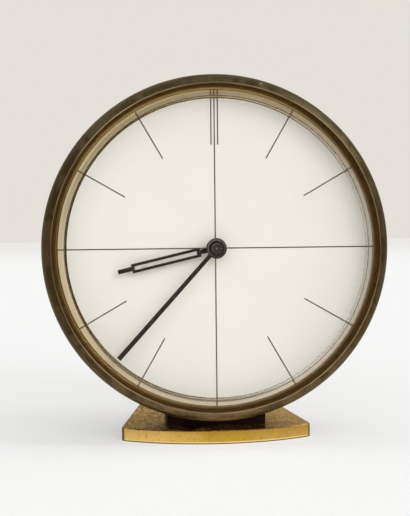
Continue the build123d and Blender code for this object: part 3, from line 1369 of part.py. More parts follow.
# Hour hand: boss, stem, open frame and tip
hour_turn = 90 - HOUR_HAND_ANGLE
frame_middle = (HOUR_FRAME_START + HOUR_FRAME_END) / 2
frame_length = HOUR_FRAME_END - HOUR_FRAME_START
window_length = frame_length - HOUR_FRAME_HEEL - HOUR_FRAME_BAR
window_middle = HOUR_FRAME_START + HOUR_FRAME_HEEL + window_length / 2
window_width = HOUR_FRAME_WIDTH - 2 * HOUR_FRAME_BAR
with BuildPart() as hour_hand:
    with BuildSketch(facing(HOUR_HAND_LEVEL, CENTRE, hour_turn)):
        Circle(HOUR_BOSS_RADIUS)
        with Locations((HOUR_FRAME_START / 2, 0)):
            Rectangle(HOUR_FRAME_START, HOUR_HAND_STEM)
        with Locations((frame_middle, 0)):
            Rectangle(frame_length, HOUR_FRAME_WIDTH)
        with Locations((window_middle, 0)):
            Rectangle(window_length, window_width, mode=Mode.SUBTRACT)
        with Locations(((HOUR_FRAME_END + HOUR_HAND_LENGTH) / 2, 0)):
            Rectangle(HOUR_HAND_LENGTH - HOUR_FRAME_END, HOUR_HAND_TIP)
        Circle(hour_pipe, mode=Mode.SUBTRACT)
    extrude(amount=HAND_THICKNESS)
save(hour_hand, "hour_hand")

with BuildPart() as hour_hand_fill:
    with BuildSketch(facing(HOUR_HAND_LEVEL, CENTRE, hour_turn)):
        with Locations((window_middle, 0)):
            Rectangle(window_length, window_width)
    extrude(amount=HOUR_FILL_THICKNESS)
save(hour_hand_fill, "hour_hand_fill")

# Minute hand: bevelled boss and plain bar
minute_turn = 90 - MINUTE_HAND_ANGLE
with BuildPart() as minute_hand:
    with BuildSketch(facing(minute_hand_back, CENTRE, minute_turn)):
        with BuildLine():
            Polyline(
                (0, -MINUTE_HAND_ROOT / 2),
                (MINUTE_HAND_LENGTH, -MINUTE_HAND_TIP / 2),
                (MINUTE_HAND_LENGTH, MINUTE_HAND_TIP / 2),
                (0, MINUTE_HAND_ROOT / 2),
                close=True,
            )
        make_face()
    extrude(amount=HAND_THICKNESS)
    turned(
        (
            (0, minute_hand_back),
            (MINUTE_BOSS_RADIUS, minute_hand_back),
            (MINUTE_BOSS_RADIUS, minute_hand_front - MINUTE_BOSS_SLOPE),
            (MINUTE_BOSS_RADIUS - MINUTE_BOSS_BEVEL, minute_hand_front),
            (0, minute_hand_front),
        )
    )
    bore(CANNON_PIPE, minute_hand_front, minute_hand_back)
save(minute_hand, "minute_hand")

# Round cap nut on the end of the minute arbor, with a ring groove and a dimple on its face
with BuildPart() as hand_nut:
    turned(
        (
            (0, nut_front - HAND_NUT_CAP),
            (MINUTE_ARBOR, nut_front - HAND_NUT_CAP),
            (MINUTE_ARBOR, minute_hand_front),
            (HAND_NUT_RADIUS, minute_hand_front),
            (HAND_NUT_RADIUS, nut_front - HAND_NUT_SLOPE),
            (HAND_NUT_TOP_RADIUS, nut_front),
            (NUT_GROOVE_RADIUS + NUT_GROOVE_WIDTH / 2, nut_front),
            (NUT_GROOVE_RADIUS, nut_front - NUT_GROOVE_DEPTH),
            (NUT_GROOVE_RADIUS - NUT_GROOVE_WIDTH / 2, nut_front),
            (NUT_DIMPLE_RADIUS, nut_front),
            (0, nut_front - NUT_GROOVE_DEPTH),
        )
    )
save(hand_nut, "hand_nut")

# Setting knob with a grooved rim
with BuildPart() as setting_knob:
    disc(KNOB_NECK, knob_front, knob_grip_front)
    disc(KNOB_RADIUS, knob_grip_front, knob_back)
    chamfer(setting_knob.faces().sort_by(Axis.Y)[-1].edges(), EDGE_BREAK)
    with BuildSketch(facing(knob_back)):
        with PolarLocations(KNOB_RADIUS, KNOB_GROOVES):
            Circle(KNOB_GROOVE)
    extrude(amount=KNOB_LENGTH, mode=Mode.SUBTRACT)
    disc(MINUTE_ARBOR, knob_front + OVERRUN, knob_grip_front - KNOB_LENGTH / 2, CENTRE, Mode.SUBTRACT)
save(setting_knob, "setting_knob")
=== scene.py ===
"""Looks of the wind-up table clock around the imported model: finishes, crystal, floor, light and camera."""

import json
import math

import bmesh
import bpy
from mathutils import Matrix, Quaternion, Vector


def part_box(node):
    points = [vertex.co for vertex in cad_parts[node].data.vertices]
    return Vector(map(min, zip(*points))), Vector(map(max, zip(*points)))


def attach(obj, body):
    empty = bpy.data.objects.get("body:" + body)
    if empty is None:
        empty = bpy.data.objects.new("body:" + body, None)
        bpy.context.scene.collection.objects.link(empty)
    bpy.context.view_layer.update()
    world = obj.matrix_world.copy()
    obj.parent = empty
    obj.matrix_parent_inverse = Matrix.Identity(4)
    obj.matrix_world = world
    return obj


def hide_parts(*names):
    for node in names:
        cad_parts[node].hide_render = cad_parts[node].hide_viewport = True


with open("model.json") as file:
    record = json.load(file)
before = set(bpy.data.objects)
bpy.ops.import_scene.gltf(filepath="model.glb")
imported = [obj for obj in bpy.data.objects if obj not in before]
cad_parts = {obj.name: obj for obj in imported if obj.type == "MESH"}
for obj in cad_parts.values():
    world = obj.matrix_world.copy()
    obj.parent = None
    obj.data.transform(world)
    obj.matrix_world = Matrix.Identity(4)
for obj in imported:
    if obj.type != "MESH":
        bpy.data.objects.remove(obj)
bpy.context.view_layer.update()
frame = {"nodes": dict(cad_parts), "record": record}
MM = 0.001

# The photograph's frame and how the camera stands to the clock
IMAGE_WIDTH = 410
IMAGE_HEIGHT = 516
SENSOR_MM = 36.0
FOCAL_PIXELS = 1039.5
AXIS_PIXEL = (216.1, 248.4)
VIEW_AZIMUTH = -4.7
VIEW_ELEVATION = 1.1
VIEW_ROLL = 0.6
VIEW_DISTANCE = 360 * MM
CLIP_START = 10 * MM

# Where the dial, the bezel, the crystal and the base lie
dial_low, dial_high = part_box("dial")
bezel_low, bezel_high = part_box("bezel")
crystal_low, crystal_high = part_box("crystal")
base_low, base_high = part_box("base_plate")
DIAL_Z = (dial_low.z + dial_high.z) / 2
DIAL_Y = dial_low.y
BEZEL_RADIUS = (bezel_high.x - bezel_low.x) / 2
BEZEL_BAND = 3.4 * MM
RIDGE_WIDTH = 0.5 * MM
SLOPE_WIDTH = 1.5 * MM
BAND_FRONT_GAP = 6.5 * MM
RIDGE_RADIUS = BEZEL_RADIUS - BEZEL_BAND
SLOPE_RADIUS = RIDGE_RADIUS - RIDGE_WIDTH
LIP_RADIUS = SLOPE_RADIUS - SLOPE_WIDTH
WIDEST_Y = bezel_low.y + BAND_FRONT_GAP
BASE_FRONT_BOW = 9.9 * MM
BASE_CORNER_HALF = 33.6 * MM
BASE_SIDE_TAPER_SHARE = 0.139

# The crystal's own sizes, levels counted from the dial's face to the front
CRYSTAL_FLANGE_RADIUS = (crystal_high.x - crystal_low.x) / 2
CRYSTAL_APEX = DIAL_Y - crystal_low.y
CRYSTAL_FOOT = DIAL_Y - crystal_high.y
CRYSTAL_FLANGE = 1.5 * MM
CRYSTAL_LIP_GAP = 0.05 * MM
CRYSTAL_WALL_SLOPE = 2.6 * MM
CRYSTAL_WALL_HEIGHT = 4.0 * MM
CRYSTAL_WALL = 0.95 * MM
CRYSTAL_TOP = 1.8 * MM
CRYSTAL_DOME = 1.0 * MM
SHOULDER_ROUND = 0.5 * MM
CRYSTAL_LIP = LIP_RADIUS - CRYSTAL_LIP_GAP
CRYSTAL_SHOULDER = CRYSTAL_LIP - CRYSTAL_WALL_SLOPE
LATHE_STEPS = 256
DOME_RINGS = 24
ROUND_STEPS = 6
SHARP_EDGE = math.radians(28)
CRYSTAL_GLOSS = (0.08, 0.08, 0.08, 1.0)


def linear(value):
    """One 8-bit display value as linear light."""
    share = value / 255
    return share / 12.92 if share <= 0.04045 else ((share + 0.055) / 1.055) ** 2.4


def colour(red, green, blue):
    """Linear colour with alpha from 8-bit display values."""
    return (linear(red), linear(green), linear(blue), 1.0)


class Surface:
    """A node material in the making, with short calls for the nodes that the finishes share."""

    def __init__(self, name, **constants):
        self.material = bpy.data.materials.new(name)
        self.material.use_nodes = True
        self.tree = self.material.node_tree
        self.shader = self.tree.nodes["Principled BSDF"]
        self.place = self.node("ShaderNodeTexCoord").outputs["Object"]
        for socket, value in constants.items():
            label = socket.replace("_", " ").title().replace("Ior", "IOR")
            self.shader.inputs[label].default_value = value

    def node(self, kind, **settings):
        """New node with the settings given."""
        made = self.tree.nodes.new(kind)
        for name, value in settings.items():
            setattr(made, name, value)
        return made

    def feed(self, socket, value):
        """Link another node's output to a socket, or set a plain value on it."""
        if isinstance(value, bpy.types.NodeSocket):
            self.tree.links.new(value, socket)
        else:
            socket.default_value = value

    def set(self, name, value):
        """Feed one of the shader's own sockets."""
        self.feed(self.shader.inputs[name], value)

    def calc(self, operation, *values):
        """Result of a calculation with up to three numbers."""
        made = self.node("ShaderNodeMath", operation=operation)
        for socket, value in zip(made.inputs, values):
            self.feed(socket, value)
        return made.outputs[0]

    def axes(self):
        """The three coordinates of the object's own place."""
        made = self.node("ShaderNodeSeparateXYZ")
        self.feed(made.inputs[0], self.place)
        return made.outputs

    def joined(self, x, y, z):
        """A place from three coordinates."""
        made = self.node("ShaderNodeCombineXYZ")
        for socket, value in zip(made.inputs, (x, y, z)):
            self.feed(socket, value)
        return made.outputs[0]

    def stretched(self, x, y, z):
        """The object's own place, divided by three lengths."""
        made = self.node("ShaderNodeVectorMath", operation="DIVIDE")
        self.feed(made.inputs[0], self.place)
        made.inputs[1].default_value = (x, y, z)
        return made.outputs[0]

    def noise(self, size=1.0, detail=3.0, place=None, rough=0.5):
        """Soft noise from 0 to 1 with blots of about a size, in metres or in the units of the place given."""
        made = self.node("ShaderNodeTexNoise")
        self.feed(made.inputs["Vector"], place or self.place)
        made.inputs["Scale"].default_value = 1 / size
        made.inputs["Detail"].default_value = detail
        made.inputs["Roughness"].default_value = rough
        return made.outputs[0]

    def span(self, value, low, high, to_low=0.0, to_high=1.0):
        """A value between two ends as a share, smoothly, or between two other ends."""
        made = self.node("ShaderNodeMapRange", interpolation_type="SMOOTHSTEP")
        self.feed(made.inputs["Value"], value)
        for name, end in zip(("From Min", "From Max", "To Min", "To Max"), (low, high, to_low, to_high)):
            made.inputs[name].default_value = end
        return made.outputs[0]

    def blended(self, first, second, second_share):
        """Two numbers mixed by a share."""
        kept = self.calc("MULTIPLY", first, 1 - second_share)
        return self.calc("MULTIPLY_ADD", second, second_share, kept)

    def ramp(self, factor, *stops):
        """Colour that follows a factor through stops of place and colour."""
        made = self.node("ShaderNodeValToRGB")
        self.feed(made.inputs[0], factor)
        elements = made.color_ramp.elements
        for number, (place, shade) in enumerate(stops):
            element = elements[number] if number < len(elements) else elements.new(place)
            element.position = place
            element.color = shade
        return made.outputs[0]

    def mix(self, factor, first, second):
        """Two colours mixed by a factor."""
        made = self.node("ShaderNodeMix", data_type="RGBA")
        self.feed(made.inputs[0], factor)
        self.feed(made.inputs[6], first)
        self.feed(made.inputs[7], second)
        return made.outputs[2]

    def bump(self, height, depth):
        """Relief of a depth in metres under the shader's gloss."""
        made = self.node("ShaderNodeBump")
        self.feed(made.inputs["Height"], height)
        made.inputs["Distance"].default_value = depth
        self.set("Normal", made.outputs[0])

    def cover(self, share, shader):
        """Lay another shader over this one, as much as a share says."""
        both = self.node("ShaderNodeMixShader")
        for socket, value in zip(both.inputs, (share, self.shader.outputs[0], shader.outputs[0])):
            self.feed(socket, value)
        self.feed(self.tree.nodes["Material Output"].inputs[0], both.outputs[0])

    def around_dial(self):
        """Distance from the dial's axis, and angle round it from the right."""
        x, _, z = self.axes()
        height = self.calc("SUBTRACT", z, DIAL_Z)
        squares = self.calc("MULTIPLY_ADD", x, x, self.calc("MULTIPLY", height, height))
        return self.calc("SQRT", squares), self.calc("ARCTAN2", height, x)

    def facing(self, angle, towards):
        """A number that is 1 where an angle is the one given, and -1 on the other side of the dial."""
        return self.calc("COSINE", self.calc("SUBTRACT", angle, towards))

    def near(self, place, reach):
        """A share that is 1 at a place and falls to 0 a reach away from it."""
        made = self.node("ShaderNodeVectorMath", operation="DISTANCE")
        self.feed(made.inputs[0], self.place)
        made.inputs[1].default_value = place
        return self.span(made.outputs["Value"], 0.0, reach, 1.0, 0.0)

    def hump(self, value, middle, reach):
        """A share that is 1 where a value is at the middle and falls to 0 a reach to both sides."""
        away = self.calc("ABSOLUTE", self.calc("SUBTRACT", value, middle))
        return self.span(away, 0.0, reach, 1.0, 0.0)

    def lathe_marks(self, pitch, along):
        """Noise drawn out into rings round the dial's axis."""
        radius, angle = self.around_dial()
        _, depth, _ = self.axes()
        rings = self.joined(
            self.calc("DIVIDE", self.calc("SUBTRACT", radius, depth), pitch),
            self.calc("MULTIPLY", self.calc("COSINE", angle), along),
            self.calc("MULTIPLY", self.calc("SINE", angle), along),
        )
        return self.noise(detail=2.0, place=rings)


def patina_and_reflection(surface, tone):
    """Colour of the darkly patinated case by its tone, with a painted reflection that makes it paler near the
    foot and the top of the case.
    """
    _, _, height = surface.axes()
    above_foot = surface.calc("SUBTRACT", height, DIAL_Z - BEZEL_RADIUS)
    above = surface.calc("DIVIDE", above_foot, 2 * BEZEL_RADIUS)
    # painted reflection: the colour follows the height, very pale at the foot and paler at the top
    light_tone = surface.ramp(
        above,
        (0.0, colour(255, 238, 204)),
        (0.01, colour(255, 230, 186)),
        (0.018, colour(142, 120, 86)),
        (0.07, colour(118, 99, 70)),
        (0.25, colour(88, 72, 46)),
        (0.6, colour(76, 62, 40)),
        (0.9, colour(93, 83, 60)),
    )
    dark_tone = surface.ramp(
        above,
        (0.0, colour(236, 206, 160)),
        (0.01, colour(216, 186, 140)),
        (0.018, colour(106, 86, 56)),
        (0.07, colour(84, 68, 45)),
        (0.25, colour(63, 50, 29)),
        (0.6, colour(54, 42, 24)),
        (0.9, colour(70, 61, 42)),
    )
    return surface.mix(surface.span(tone, 0.44, 0.56), dark_tone, light_tone)


def inner_slope(surface, radius, angle):
    """Colour of the slope inside the ridge: brown, with a painted golden reflection at the top."""
    reflection_angle = math.radians(105)
    outward_share = surface.span(radius, LIP_RADIUS, SLOPE_RADIUS)
    brown = surface.ramp(
        outward_share,
        (0.0, colour(128, 105, 67)),
        (0.22, colour(106, 83, 49)),
        (0.5, colour(86, 64, 36)),
        (1.0, colour(79, 60, 36)),
    )
    # painted reflection: golden where the slope faces the top of the dial
    golden = surface.ramp(
        outward_share,
        (0.0, colour(206, 182, 134)),
        (0.3, colour(148, 125, 82)),
        (0.55, colour(110, 88, 52)),
        (0.8, colour(94, 73, 42)),
        (1.0, colour(84, 65, 39)),
    )
    return surface.mix(surface.span(surface.facing(angle, reflection_angle), 0.35, 0.95), brown, golden)


def bare_brass_and_highlight(surface, radius, angle):
    """A share for the pale ridge colour: a painted highlight along the ridge, strongest at its slanting parts
    and varied by wear, and a nick where the brass shows.
    """
    wear_size = 20 * MM
    nick_radius = 58.3 * MM
    nick_level = 7.9 * MM
    nick_reach = 0.75 * MM
    nick_angle = math.radians(74.5)
    # painted highlight along the ridge, brightest where the ridge slants
    ridge = surface.calc("COMPARE", radius, SLOPE_RADIUS + RIDGE_WIDTH / 2, RIDGE_WIDTH / 4)
    slanting = surface.calc("ABSOLUTE", surface.calc("SINE", surface.calc("MULTIPLY", angle, 2.0)))
    wear = surface.span(surface.noise(wear_size, 4.0), 0.3, 0.7, 0.22, 0.5)
    highlight_and_wear = surface.calc("MULTIPLY", ridge, surface.calc("MULTIPLY_ADD", slanting, wear, 0.06))
    nick_place = (
        nick_radius * math.cos(nick_angle),
        DIAL_Y - nick_level,
        DIAL_Z + nick_radius * math.sin(nick_angle),
    )
    return surface.calc("MAXIMUM", highlight_and_wear, surface.near(nick_place, nick_reach))


def case_brass():
    """Streaked, darkly patinated turned brass with a painted reflection that follows the height, a brown
    slope inside the ridge with a painted golden reflection at the top, and a painted highlight along the
    ridge with wear in it.
    """
    surface = Surface("case_brass", metallic=1.0, specular_tint=colour(228, 222, 208))
    cloud_size = 14 * MM
    speck_size = 1.2 * MM
    streak_pitch = 0.25 * MM
    mark_pitch = 0.11 * MM
    mark_depth = 0.006 * MM
    radius, angle = surface.around_dial()
    streaked = surface.blended(surface.noise(cloud_size, 4.0), surface.lathe_marks(streak_pitch, 11.0), 0.65)
    tone = surface.blended(streaked, surface.noise(speck_size, rough=0.6), 0.15)
    inside = surface.calc("LESS_THAN", radius, SLOPE_RADIUS)
    body = surface.mix(inside, patina_and_reflection(surface, tone), inner_slope(surface, radius, angle))
    # pale brass colour for the painted ridge highlight and for the nick
    bare_and_highlight = bare_brass_and_highlight(surface, radius, angle)
    surface.set("Base Color", surface.mix(bare_and_highlight, body, colour(194, 170, 128)))
    surface.set("Roughness", surface.span(tone, 0.3, 0.7, 0.36, 0.52))
    surface.bump(surface.lathe_marks(mark_pitch, 7.0), mark_depth)
    return surface.material


def polished_edge(surface, specks):
    """Colour of the base's edge: golden with specks and a painted reflection that is brightest at the left,
    darker towards the top, with a painted shadow at its foot and a painted highlight just above that.
    """
    streak_size = 14 * MM
    x, _, height = surface.axes()
    # painted reflection: the gold is lightest at the left end and lighter again at the right
    along = surface.blended(surface.span(x, base_low.x, base_high.x), surface.noise(streak_size, 4.0), 0.3)
    gold = surface.ramp(
        along,
        (0.2, colour(240, 198, 112)),
        (0.42, colour(199, 161, 62)),
        (0.62, colour(192, 155, 56)),
        (0.85, colour(206, 164, 88)),
    )
    gold = surface.mix(surface.span(specks, 0.5, 0.7, 0.0, 0.4), gold, colour(150, 112, 50))
    rise = surface.calc("DIVIDE", height, base_high.z)
    # darker towards the top
    edge = surface.mix(surface.span(rise, 0.2, 1.0, 0.0, 0.4), gold, colour(140, 104, 40))
    # painted highlight: a bright line just above the foot
    edge = surface.mix(surface.span(rise, 0.12, 0.2, 1.0, 0.0), edge, colour(250, 224, 156))
    # painted shadow: a dark line at the foot
    return surface.mix(surface.span(rise, 0.05, 0.11, 1.0, 0.0), edge, colour(112, 88, 46))


def tarnished_top(surface, cloud, specks):
    """Colour of the base's top: brown clouds and specks, brighter to the right."""
    bright_end = 30 * MM
    x, _, _ = surface.axes()
    tarnish = surface.ramp(
        surface.blended(cloud, specks, 0.65),
        (0.4, colour(88, 65, 33)),
        (0.5, colour(156, 126, 80)),
        (0.6, colour(216, 184, 130)),
    )
    return surface.mix(surface.span(x, 0.0, bright_end, 0.0, 0.45), tarnish, colour(226, 194, 142))


def base_brass():
    """Brass with a polished edge, a tarnished top, dark sides and a nick."""
    surface = Surface("base_brass", metallic=1.0, specular_tint=colour(224, 208, 176))
    cloud_size = 7 * MM
    speck_width = 1.2 * MM
    speck_length = 3.2 * MM
    grain_size = 0.6 * MM
    grain_depth = 0.008 * MM
    arris_height = 0.3 * MM
    side_blur = 0.4 * MM
    corner_width = 1.3 * MM
    rim_width = 0.7 * MM
    nick_x = -27.6 * MM
    nick_depth = 6.6 * MM
    nick_reach = 0.9 * MM
    corner_start = BASE_CORNER_HALF - corner_width
    rim_start = BASE_CORNER_HALF - rim_width
    nick_place = (nick_x, base_low.y + nick_depth, base_high.z)
    x, depth, height = surface.axes()
    cloud = surface.noise(cloud_size, 5.0, rough=0.6)
    specks = surface.noise(place=surface.stretched(speck_width, speck_length, speck_width), rough=0.65)
    behind_corner = surface.calc("SUBTRACT", depth, base_low.y + BASE_FRONT_BOW)
    beside = surface.calc("MULTIPLY_ADD", behind_corner, BASE_SIDE_TAPER_SHARE, surface.calc("ABSOLUTE", x))
    at_corner = surface.span(beside, corner_start, corner_start + side_blur)
    at_rim = surface.span(beside, rim_start, rim_start + side_blur)
    edge = surface.mix(at_corner, polished_edge(surface, specks), colour(104, 86, 58))
    top = surface.mix(at_rim, tarnished_top(surface, cloud, specks), colour(84, 66, 38))
    body = surface.mix(surface.span(height, base_high.z - arris_height, base_high.z), edge, top)
    surface.set("Base Color", surface.mix(surface.near(nick_place, nick_reach), body, colour(70, 50, 24)))
    surface.set("Roughness", surface.span(cloud, 0.3, 0.7, 0.26, 0.44))
    surface.bump(surface.noise(grain_size, 2.0), grain_depth)
    return surface.material


def neck_dark():
    """Near-black brown with faint brush lines."""
    surface = Surface("neck_dark", roughness=0.5, specular_ior_level=0.06)
    line_length = 3.3 * MM
    line_pitch = 0.17 * MM
    line_depth = 0.02 * MM
    lines = surface.noise(place=surface.stretched(line_length, line_length, line_pitch))
    surface.set("Base Color", surface.ramp(lines, (0.3, colour(22, 8, 2)), (0.7, colour(36, 16, 7))))
    surface.bump(lines, line_depth)
    return surface.material


def clear():
    """Clear acrylic with yellowing in its wall, painted shade that darkens the wall at the left, the top and
    the upper left, and a painted dark line at the foot.
    """
    surface = Surface("clear", transmission_weight=1.0, ior=1.49, roughness=0.0, specular_tint=CRYSTAL_GLOSS)
    cloud_size = 30 * MM
    shade_angle = math.radians(130)
    shade_offset = 0.4 * MM
    shade_width = 0.9 * MM
    dark_line_angle = math.radians(255)
    dark_line_offset = 0.45 * MM
    dark_line_width = 0.75 * MM
    radius, angle = surface.around_dial()
    x, _, height = surface.axes()
    cloud = surface.noise(cloud_size)
    fresh = surface.ramp(cloud, (0.3, colour(252, 251, 249)), (0.7, colour(254, 253, 252)))
    # painted shade: the wall's tint is darker and yellower at the left and at the top
    across = surface.span(x, -CRYSTAL_SHOULDER, CRYSTAL_SHOULDER)
    upper = surface.span(height, DIAL_Z, DIAL_Z + CRYSTAL_SHOULDER)
    yellowing_and_shade = surface.mix(across, colour(236, 221, 190), colour(254, 250, 240))
    yellowing_and_shade = surface.mix(upper, yellowing_and_shade, colour(229, 212, 176))
    shade_ring = surface.hump(radius, CRYSTAL_SHOULDER + shade_offset, shade_width)
    shade_side = surface.span(surface.facing(angle, shade_angle), 0.55, 1.0)
    shade = surface.calc("MULTIPLY", shade_ring, shade_side)
    yellowing_and_shade = surface.mix(shade, yellowing_and_shade, colour(168, 153, 122))
    wall = surface.span(radius, CRYSTAL_SHOULDER - CRYSTAL_WALL, CRYSTAL_SHOULDER)
    tint = surface.mix(wall, fresh, yellowing_and_shade)
    # painted shade: a dark line along the lower side of the shoulder
    dark_line_ring = surface.hump(radius, CRYSTAL_SHOULDER - dark_line_offset, dark_line_width)
    dark_line_side = surface.span(surface.facing(angle, dark_line_angle), 0.6, 0.95)
    dark_line = surface.calc("MULTIPLY", dark_line_ring, dark_line_side)
    surface.set("Base Color", surface.mix(dark_line, tint, colour(146, 138, 118)))
    path = surface.node("ShaderNodeLightPath")
    lighting = surface.calc("MAXIMUM", path.outputs["Is Shadow Ray"], path.outputs["Is Diffuse Ray"])
    surface.cover(lighting, surface.node("ShaderNodeBsdfTransparent"))
    return surface.material


def dial_white():
    """Matte off-white paint with a faint warm cloud and a fine grain."""
    surface = Surface("dial_white", roughness=0.55, specular_ior_level=0.1)
    cloud_size = 31 * MM
    grain_size = 0.4 * MM
    grain_depth = 0.006 * MM
    cloud = surface.noise(cloud_size, 4.0)
    surface.set("Base Color", surface.ramp(cloud, (0.3, colour(235, 232, 222)), (0.7, colour(237, 234, 226))))
    surface.bump(surface.noise(grain_size, 2.0), grain_depth)
    return surface.material


def print_brown():
    """Thin brown-black printing ink that lies unevenly."""
    surface = Surface("print", roughness=0.6)
    blot_size = 1.1 * MM
    blots = surface.noise(blot_size)
    surface.set("Base Color", surface.ramp(blots, (0.3, colour(66, 44, 34)), (0.7, colour(108, 82, 68))))
    return surface.material


def hand_black():
    """Black enamel on the hands, a little grey where it is rubbed, with painted light and dark rings round
    the boss and the nut, lit at the upper left.
    """
    surface = Surface("hand_black", specular_ior_level=0.1)
    rub_size = 2 * MM
    grain_size = 0.33 * MM
    grain_depth = 0.008 * MM
    rim_reach = 4.0 * MM
    highlight_angle = math.radians(140)
    radius, angle = surface.around_dial()
    rubbed = surface.noise(rub_size, 4.0)
    enamel = surface.ramp(rubbed, (0.35, colour(36, 28, 22)), (0.7, colour(52, 43, 35)))
    # painted highlights and shade: light and dark rings by distance from the axis
    rim_highlights = surface.ramp(
        surface.calc("DIVIDE", radius, rim_reach),
        (0.06, colour(150, 136, 130)),
        (0.12, colour(9, 6, 5)),
        (0.20, colour(9, 6, 5)),
        (0.25, colour(108, 96, 92)),
        (0.30, colour(9, 6, 5)),
        (0.37, colour(12, 8, 7)),
        (0.42, colour(122, 110, 106)),
        (0.47, colour(9, 6, 5)),
        (0.62, colour(13, 9, 8)),
        (0.74, colour(104, 98, 96)),
        (0.86, colour(22, 17, 14)),
    )
    # the painted rings show most at the upper left and fade towards plain enamel at the lower right
    lit = surface.span(surface.facing(angle, highlight_angle), -0.5, 0.9, 0.25, 1.0)
    lit_rim = surface.calc("MULTIPLY", lit, surface.calc("LESS_THAN", radius, rim_reach))
    surface.set("Base Color", surface.mix(lit_rim, enamel, rim_highlights))
    surface.set("Roughness", surface.span(rubbed, 0.3, 0.7, 0.2, 0.34))
    surface.bump(surface.noise(grain_size, 2.0), grain_depth)
    return surface.material


def hand_fill():
    """Pale matte paint in the hour hand's window."""
    surface = Surface("hand_fill", roughness=0.7)
    blot_size = 1.4 * MM
    grain_size = 0.4 * MM
    grain_depth = 0.02 * MM
    blots = surface.noise(blot_size, 4.0)
    surface.set("Base Color", surface.ramp(blots, (0.3, colour(186, 180, 170)), (0.7, colour(206, 201, 193))))
    surface.bump(surface.noise(grain_size), grain_depth)
    return surface.material


def turned_metal(name, dark, light, rough):
    """Metal with rings from turning and a soft cloud of tarnish."""
    surface = Surface(name, metallic=1.0)
    cloud_size = 12 * MM
    mark_pitch = 0.14 * MM
    mark_depth = 0.01 * MM
    ring_pitch = 0.7 * MM
    marks = surface.lathe_marks(mark_pitch, 5.0)
    rings = surface.lathe_marks(ring_pitch, 3.0)
    tone = surface.blended(surface.noise(cloud_size, 4.0), rings, 0.5)
    surface.set("Base Color", surface.ramp(tone, (0.32, dark), (0.68, light)))
    surface.set("Roughness", surface.span(tone, 0.3, 0.7, rough, rough + 0.14))
    surface.bump(marks, mark_depth)
    return surface.material


def worked_metal(name, dark, light, rough):
    """Metal with a fine grain and small blotches."""
    surface = Surface(name, metallic=1.0)
    blotch_size = 2.5 * MM
    grain_size = 0.28 * MM
    grain_depth = 0.006 * MM
    blotches = surface.noise(blotch_size, 4.0)
    surface.set("Base Color", surface.ramp(blotches, (0.3, dark), (0.7, light)))
    surface.set("Roughness", surface.span(blotches, 0.3, 0.7, rough, rough + 0.12))
    surface.bump(surface.noise(grain_size, 2.0), grain_depth)
    return surface.material


finishes = {
    "case_brass": case_brass(),
    "base_brass": base_brass(),
    "neck_dark": neck_dark(),
    "clear": clear(),
    "dial_white": dial_white(),
    "print": print_brown(),
    "hand_black": hand_black(),
    "hand_fill": hand_fill(),
    "cover_brass": turned_metal("cover_brass", colour(134, 108, 60), colour(186, 156, 98), 0.3),
    "plate_brass": worked_metal("plate_brass", colour(176, 146, 84), colour(210, 182, 120), 0.28),
    "carrier_steel": worked_metal("carrier_steel", colour(140, 140, 138), colour(176, 176, 174), 0.34),
    "steel": worked_metal("steel", colour(150, 150, 150), colour(190, 190, 190), 0.24),
    "spring_steel": worked_metal("spring_steel", colour(52, 60, 84), colour(84, 94, 122), 0.26),
    "screw_steel": worked_metal("screw_steel", colour(128, 124, 116), colour(172, 168, 160), 0.3),
}
for row in frame["record"]["subparts"]:
    mesh = frame["nodes"][row["node"]].data
    mesh.materials.clear()
    mesh.materials.append(finishes[row["material_slot"]])


def placed(name, data):
    """New object in the scene."""
    made = bpy.data.objects.new(name, data)
    bpy.context.scene.collection.objects.link(made)
    return made


def soft_corner(before, corner, after, reach):
    """Points that round a corner of an outline, starting and ending a reach away from it."""
    before, corner, after = Vector(before), Vector(corner), Vector(after)
    start = corner + (before - corner).normalized() * reach
    end = corner + (after - corner).normalized() * reach
    points = []
    for step in range(ROUND_STEPS + 1):
        share = step / ROUND_STEPS
        points.append(start.lerp(corner, share).lerp(corner.lerp(end, share), share))
    return points


def turned_piece(name, outline, material):
    """Smooth body round the dial's axis, from an outline of radii and levels that starts and ends on it."""
    shape = bmesh.new()
    rings = []
    for radius, level in outline:
        ring = []
        for step in range(LATHE_STEPS if radius else 1):
            turn = math.tau * step / LATHE_STEPS
            place = (radius * math.cos(turn), DIAL_Y - level, DIAL_Z + radius * math.sin(turn))
            ring.append(shape.verts.new(place))
        rings.append(ring)
    for ring, following in zip(rings, rings[1:]):
        for step in range(LATHE_STEPS):
            after = step + 1
            corners = [ring[step % len(ring)], ring[after % len(ring)]]
            corners += [following[after % len(following)], following[step % len(following)]]
            shape.faces.new(list(dict.fromkeys(corners)))
    bmesh.ops.recalc_face_normals(shape, faces=shape.faces)
    mesh = bpy.data.meshes.new(name)
    shape.to_mesh(mesh)
    shape.free()
    mesh.materials.append(material)
    mesh.shade_smooth()
    mesh.set_sharp_from_angle(angle=SHARP_EDGE)
    return placed(name, mesh)


def dome(apex, edge_radius):
    """Points of a shallow dome from the axis to its edge."""
    shares = [ring / DOME_RINGS for ring in range(DOME_RINGS + 1)]
    return [(edge_radius * share, apex - CRYSTAL_DOME * share * share) for share in shares]


